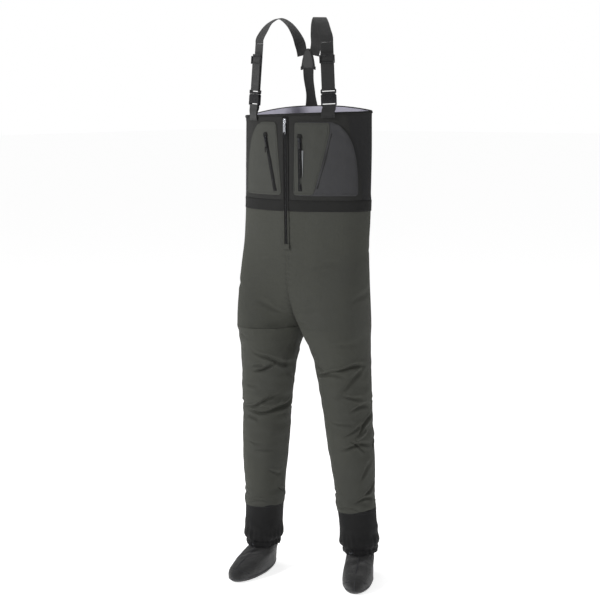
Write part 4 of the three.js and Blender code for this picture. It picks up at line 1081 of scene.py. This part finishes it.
def build_zips():
    main = zip_axes("zip_teeth")
    for name, side in (("right", -1), ("left", 1)):
        points = line_on(main, 0, 0, 0, 1, 90)[0]
        columns = [(side * 2.6, 0.5), (side * 3.2, 1.0), (side * 6, 1.05), (side * 9.4, 0.9),
                   (side * 9.9, -0.3)]
        grid = np.stack([points + main[1] * x + main[2] * o for x, o in columns], 1)
        tape = sheet(f"zip_tape_{name}", grid, TAPE, centre=main[0] - main[2] * 50)
        settle(tape, "zip_coil", "trunk", f"zip_tape_{name}")
        # welts: folded edges of cloth each side of the teeth, of bib cloth above the band and shell below it
        share = (BAND_TOP - BAND_HEIGHT - ZIP_BOTTOM) / (RIM_FRONT - 10 - ZIP_BOTTOM)
        for part, low, high, look in (("low", 0.0, share, SHELL), ("high", share, 1.0, BAND)):
            run, facing = line_on(main, side * 7.6, 1.5, low, high, 60)
            welt = tube(f"zip_welt_{part}_{name}", run, 2.3, look, sides=12, normals=facing, flat=0.6)
            settle(welt, "bib_fabric" if part == "high" else "shell_fabric", "trunk")
    lines = [line_on(main, x, 1.5, 0.002, 0.998, 200) for x in (-1.25, 1.25)]
    teeth = row_of("zip_teeth", lines, COIL, "zip_coil", "trunk", 0.0017, 0.0011, 0.0036, 0.0021, 2)
    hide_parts("zip_teeth")
    edges = [line_on(main, x, 0.9, 0.01, 0.99, 120) for x in (-10.6, 10.6)]
    stitches("zip_stitching", edges, "zip_coil", "trunk")
    copied("zip_slider", ["zip_slider"], METAL, "metal", "zip_slider", 0.0009, 4)
    build_pull("zip_pull", METAL)
    # the folded end of cloth below the main zip
    middle, across, out, along, reach = main[:5]
    low_end = middle - along * (reach + 11) + out * 1.2
    fold = strap("zip_end_fold", [(low_end + along * 10, across), (low_end + out * 1.5 + along * 4, across),
                                  (low_end + out * 1.2 - along * 2, across), (low_end - along * 6 - out * 1,
                                                                              across)],
                 22, 1.6, SHELL, 16)
    settle(fold, "shell_fabric", "trunk")
    for name in ("right", "left"):
        shape = zip_axes(f"pocket_zip_{name}")
        points, facing = line_on(shape, 0, 0.0, 0, 1, 60)
        columns = [(-7.5, -3.2), (-6.2, 0.2), (-4.5, 0.9), (-2, 0.7), (0, 0.9), (2, 0.7), (4.5, 0.9),
                   (6.2, 0.2),
                   (7.5, -3.2)]
        grid = np.stack([points + shape[1] * x + shape[2] * o for x, o in columns], 1)
        tape = sheet(f"pocket_zip_tape_{name}", grid, TAPE, centre=shape[0] - shape[2] * 50)
        settle(tape, "zip_coil", "trunk", f"pocket_zip_{name}")
        lines = [line_on(shape, x, 1.2, 0.01, 0.99, 90) for x in (-0.9, 0.9)]
        row_of(f"pocket_zip_teeth_{name}", lines, COIL, "zip_coil", "trunk", 0.0013, 0.0009, 0.0026, 0.0016,
               2)
        stitches(f"pocket_zip_stitching_{name}",
                 [line_on(shape, x, 1.2, 0.02, 0.98, 60) for x in (-4.6, 4.6)],
                 "zip_coil", "trunk")
        copied(f"pocket_slider_{name}", [f"pocket_slider_{name}"], DARK_METAL, "metal",
               f"pocket_slider_{name}", 0.0007, 4)
        build_pull(f"pocket_pull_{name}", ACETAL)
        build_garage(name, shape)


def build_garage(name, shape):
    """A small arched hood that covers the slider when the pocket is shut."""
    middle, across, out, along, reach = shape[:5]
    v, u = np.meshgrid(np.linspace(0, 1, 24), np.linspace(-1, 1, 25), indexing="ij")
    arch = np.sqrt(np.clip(1 - np.abs(u) ** 2.6, 0, 1))
    rise = arch * lerp(7.6, 3.0, v) - 1.5
    grid = (middle + across * (u * lerp(9, 6, v ** 3))[..., None] + out * (rise - 1.0)[..., None]
            + along * (reach - 1 + v * 12)[..., None])
    hood = sheet(f"pocket_garage_{name}", grid, BAND, centre=middle - out * 60)
    settle(hood, "bib_fabric", "trunk")
    if name == "left":
        v, u = np.meshgrid(np.linspace(0, 1, 40), np.linspace(-1, 1, 15), indexing="ij")
        width = lerp(1.0, 6.0, v ** 1.2)
        grid = (middle + across * (9.2 + u * width * 0.5)[..., None] + out * (0.6 + 0.5 * (1 - u * u))[...,
                                                                                                       None]
                + along * lerp(-reach * 0.45, reach * 0.52, v)[..., None])
        trim = sheet("reflective_trim", grid, SILVER, centre=middle - out * 60)
        settle(trim, "pocket_fabric", "trunk")


def build_pull(name, material):
    """A slider's tab: the CAD tab rounded over, with a short cord grip hanging from it."""
    low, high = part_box(name)
    copied(name, [name], material, "zip_coil", name, 0.0006, 4)
    x = (low.x + high.x) / 2
    grip_top = np.array([x, low.y, low.z]) / 0.001 + SHOULDER
    points = [grip_top + [0, -0.2, 6], grip_top + [0, -1.6, 1], grip_top + [0, -1.2, -6],
              grip_top + [0, -0.6, -11]]
    grip = tube(f"{name}_grip", smooth_line(points, 20), 1.5, CORD, sides=10)
    settle(grip, "zip_coil", name)


# ---------------------------------------------------------------- braces
def smooth_line(stops, count):
    """Centripetal Catmull-Rom curve through stops."""
    stops = np.asarray(stops, float)
    ends = [2 * stops[0] - stops[1], *stops, 2 * stops[-1] - stops[-2]]
    result = []
    spans = len(stops) - 1
    for t in np.linspace(0, spans, count):
        i = min(int(t), spans - 1)
        p = ends[i:i + 4]
        knots = [0.0]
        for a, b in zip(p, p[1:]):
            knots.append(knots[-1] + max(np.linalg.norm(b - a), 1e-6) ** 0.5)
        at = lerp(knots[1], knots[2], t - i)
        layer = [lerp(p[k], p[k + 1], (at - knots[k]) / (knots[k + 1] - knots[k])) for k in range(3)]
        layer = [lerp(layer[k], layer[k + 1], (at - knots[k]) / (knots[k + 2] - knots[k])) for k in range(2)]
        layer = [lerp(layer[0], layer[1], (at - knots[1]) / (knots[2] - knots[1]))]
        result.append(layer[0])
    return np.array(result)


def strap(name, stops, width, thickness, material, count, belly=0.0):
    """A ribbon with rounded edges through stops of (place, direction of its width)."""
    centre = smooth_line([s[0] for s in stops], count)
    across = smooth_line([np.asarray(s[1], float) / np.linalg.norm(s[1]) for s in stops], count)
    tangent = np.gradient(centre, axis=0)
    tangent /= np.linalg.norm(tangent, axis=1, keepdims=True)
    across -= tangent * np.sum(across * tangent, 1, keepdims=True)
    across /= np.linalg.norm(across, axis=1, keepdims=True)
    normal = np.cross(tangent, across)
    t = np.linspace(0, 1, count)
    half = (width(t) if callable(width) else np.full(count, width)) / 2
    h = thickness / 2
    flat = np.linspace(-1, 1, 13)
    nose = 0.4 * h / 19 * 2              # how far the rounded edge stands out, as a share of half the width
    profile = [(x, h) for x in flat]
    profile += [(1 + nose, 0.0)]
    profile += [(x, -h) for x in flat[::-1]]
    profile += [(-1 - nose, 0.0)]
    ring = np.stack([centre + across * (half * x)[:, None] + normal * (n + belly * (1 - x * x)) for x,
                     n in profile], 1)
    return ribbon_mesh(name, ring, material)


def ribbon_mesh(name, ring, material):
    """A closed tube of a ribbon's section, with flat ends."""
    first, last = ring[:1].mean(1, keepdims=True), ring[-1:].mean(1, keepdims=True)
    grid = np.concatenate([lerp(first, ring[:1], 0.02), ring, lerp(last, ring[-1:], 0.02)])
    obj = sheet(name, grid, material, closed=True, centre=ring.mean((0, 1)))
    obj.data.set_sharp_from_angle(angle=math.radians(50))
    return obj


BUCKLE_BAR, WEB_EASE = 4.0, 0.6
LAYER = BUCKLE_BAR / 2 + WEB_EASE + 0.9


def web_axes(side):
    foot = np.array([side * 130, -102, 1467.0])
    head = np.array([side * 118, -97, 1655.0])
    up = (head - foot) / np.linalg.norm(head - foot)
    turn = math.radians(22) * side
    across = np.array([math.cos(turn), math.sin(turn), 0])
    across -= up * (across @ up)
    across /= np.linalg.norm(across)
    return foot, across, np.cross(up, across), up, np.linalg.norm(head - foot)


def bar_turn(z, way):
    half = BUCKLE_BAR / 2
    radius = LAYER - half
    corner = radius * math.sqrt(0.5)
    near = [(LAYER, z - way * 4), (LAYER, z - way * radius), (half + corner, z - way * (radius - corner)),
            (half, z)]
    return near + [(-y, height) for y, height in near[::-1]]


def build_braces(name, side):
    foot, across, into, up, length = web_axes(side)
    place = lambda y, z: (foot + into * y + up * z, across)
    angle = side * math.radians(38)
    rim = float(rim_height(angle))
    step = torso_point(angle + 0.01, rim) - torso_point(angle - 0.01, rim)
    out = np.cross(step, [0, 0, 1.0])
    out /= np.linalg.norm(out)
    flat = np.cross([0, 0, 1.0], out)
    on_bib = lambda z, lift: (torso_point(angle, z) + out * lift, flat if flat[0] > 0 else -flat)
    turn = [place(*p) for p in bar_turn(3 + WEB_EASE + 0.9, 1)]
    stops = [on_bib(rim - 17, 1.9), on_bib(rim - 8, 3.0), on_bib(rim + 1, 3.2), place(LAYER, -7), *turn,
             place(-LAYER, -7), on_bib(rim + 1, 5.6), on_bib(rim - 8, 5.2), on_bib(rim - 17, 4.0)]
    anchor = strap(f"anchor_web_{name}", stops, WEB, 1.8, WEBBING, 90)
    settle(anchor, "webbing", "trunk", f"anchor_web_{name}")
    low, high = rim - 15, rim - 8
    box_line = []
    for x0, z0, x1, z1 in ((-16, low, 16, low), (16, low, 16, high), (16, high, -16, high),
                           (-16, high, -16, low),
                           (-16, low, 16, high), (-16, high, 16, low)):
        ends = [on_bib(z, 5.9)[0] + on_bib(z, 5.9)[1] * x for x, z in ((x0, z0), (x1, z1))]
        points = np.linspace(ends[0], ends[1], 12)
        box_line.append((points, np.broadcast_to(out, points.shape)))
    stitches(f"anchor_stitching_{name}", box_line, "webbing", "trunk")
    bar = 36.3 + 15 - 3 - WEB_EASE - 0.9
    glide = length - 50
    top, front_top = length - 0.3, glide + 18
    stops = [(LAYER, top), (LAYER, lerp(bar, top, 0.5)), *bar_turn(bar, -1),
             (-LAYER, lerp(bar, front_top, 0.5)),
             (-LAYER, front_top)]
    web = strap(f"adjuster_web_{name}", [place(*p) for p in stops], WEB, 1.8, WEBBING, 90)
    settle(web, "webbing", f"clip_{name}", f"adjuster_web_{name}")
    head = foot + up * length + into * LAYER
    stops = [(head, across), (head + up * 12, across), ((side * 104, -87, 1692), (0.92, side * 0.4, 0)),
             ((side * 89, -74, 1717), (0.8, side * 0.6, 0)), ((side * 69, -52, 1730.1),
                                                              (0.74, side * 0.68, 0)),
             ((side * 50, -29, 1714), (0.74, side * 0.62, side * -0.2)),
             ((side * 35, -8, 1680), (0.84, side * 0.34, side * -0.35)), ((side * 27, 1, 1650),
                                                                          (0.9, 0, side * -0.42)),
             ((side * 20.5, 1, 1620), (0.93, 0, side * -0.36))]
    width = lambda t: lerp(WEB, 34.0, smooth((t - 0.75) * 4))
    shoulder = strap(f"shoulder_strap_{name}", stops, width, 1.8, WEBBING, 120)
    start = Vector(in_frame([side * 69, -52, 1731]))
    settle(shoulder, "webbing", ("trunk", f"clip_{name}", start, Vector(in_frame(head))),
           f"shoulder_strap_{name}")
    copied(f"buckle_socket_{name}", [f"buckle_female_{name}"], ACETAL, "acetal", "trunk", 0.0012, 4)
    copied(f"buckle_plug_{name}", [f"buckle_male_{name}"], ACETAL, "acetal", f"clip_{name}", 0.0009, 4)
    for way in ("outer", "inner"):
        copied(f"prong_{way}_{name}", [f"prong_{way}_{name}"], ACETAL, "acetal", f"prong_{way}_{name}",
               0.0009, 3)
    copied(f"tri_glide_{name}", [f"tri_glide_{name}"], ACETAL, "acetal", f"glide_{name}", 0.0009, 4)


def build_yoke():
    apex, base, half, y = 1638.0, 1582.0, 21.0, -3.2
    v, u = np.meshgrid(np.linspace(0, 1, 50), np.linspace(-1, 1, 49), indexing="ij")
    width = half * np.sqrt(np.clip(1 - (v * 0.985) ** 3.2, 0, 1)) * lerp(1.0, 0.62, v)
    edge = np.minimum((1 - np.abs(u)) * width, np.minimum(v, 1 - v) * (apex - base))
    puff = 2.6 * np.sqrt(np.clip(1 - (1 - np.clip(edge / 3.0, 0, 1)) ** 2, 0, 1)) \
        - 0.7 * np.exp(-((edge - 4.6) / 1.1) ** 2)
    front = np.stack([u * width, y + 2.2 - puff, lerp(base, apex, v)], -1)
    settle(sheet("yoke_front", front, YOKE, centre=[0, 60, 1610]), "yoke_panel", "trunk", "yoke_patch")
    back = np.stack([u * width, y + 6.4 + 0.6 * puff, lerp(base, apex, v)], -1)
    settle(sheet("yoke_back", back, YOKE, centre=[0, -60, 1610]), "yoke_panel", "trunk")
    rim = np.concatenate([np.stack([u[:, 0] * width[:, 0], 0 * v[:, 0] + 0.9, lerp(base, apex, v[:, 0])], -1),
                          np.stack([u[::-1, -1] * width[::-1, -1], 0 * v[:, 0] + 0.9,
                                    lerp(base, apex, v[::-1, 0])], -1)])
    roll = tube("yoke_binding", rim, 3.4, WEBBING, sides=12,
                normals=np.broadcast_to([0, -1.0, 0], rim.shape), flat=1.1)
    settle(roll, "webbing", "trunk")
    stops = [((0, 1.6, base + 12), (1, 0, 0)), ((0, 4, 1550), (1, 0, 0)),
             ((0, 16, 1508), (1, 0, 0)), ((0, 22, 1472), (1, 0, 0)), ((0, 27.5, 1436), (1, 0, 0))]
    width = lambda t: lerp(36, 31, smooth(t * 2)) + 17 * smooth(t * 2 - 1)
    rear = strap("back_strap", stops, width, 2.2, WEBBING, 70)
    settle(rear, "webbing", "trunk", "back_strap")
    for side in (-1, 1):
        knob = strap(f"yoke_keeper_{'left' if side > 0 else 'right'}",
                     [((side * 13, -1.4, 1586), (0.3, 0, 1)), ((side * 21, -2.6, 1583), (0, 0, 1)),
                      ((side * 25, 0.5, 1581), (0, 0, 1)), ((side * 22, 4.6, 1582), (0, 0, 1))],
                     9, 2.6, WEBBING, 24)
        settle(knob, "webbing", "trunk")


# ---------------------------------------------------------------- seams of the shell
def build_seams():
    rows = np.linspace(0, 2, 260)
    for name in ("right", "left"):
        edge = hip_grid(name, np.array([0.0, 0.012, 0.02]), rows)
        side = LEGS[name]["side"]
        points = edge[:, 1]
        facing = np.cross(np.gradient(edge[:, 1], axis=0), edge[:, 2] - edge[:, 0])
        facing = outward(facing / np.linalg.norm(facing, axis=-1, keepdims=True), points,
                         [side * 90, -20, 900])
        keep = (points[:, 2] < ZIP_BOTTOM - 6) & (points[:, 2] > CROTCH + 8)
        back = hip_grid(name, np.array([0.98, 0.988, 1.0]), rows)
        rear_facing = np.cross(np.gradient(back[:, 1], axis=0), back[:, 2] - back[:, 0])
        rear_facing = outward(rear_facing / np.linalg.norm(rear_facing, axis=-1, keepdims=True), back[:, 1],
                              [side * 90, -20, 900])
        low = back[:, 1, 2] > CROTCH + 8
        lines = [(points[keep] + facing[keep] * 0.3, facing[keep]),
                 (back[low, 1] + rear_facing[low] * 0.3, rear_facing[low])]
        stitches(f"rise_stitching_{name}", lines, "shell_fabric", "trunk", THREAD_PALE)


aim_camera()
build_stage()
for leg_name in LEGS:
    build_legs(leg_name)
    build_gaiter(leg_name)
    build_bootie(leg_name)
build_seams()
build_bib()
build_pockets()
build_zips()
for brace_name, brace_side in (("right", -1), ("left", 1)):
    build_braces(brace_name, brace_side)
build_yoke()
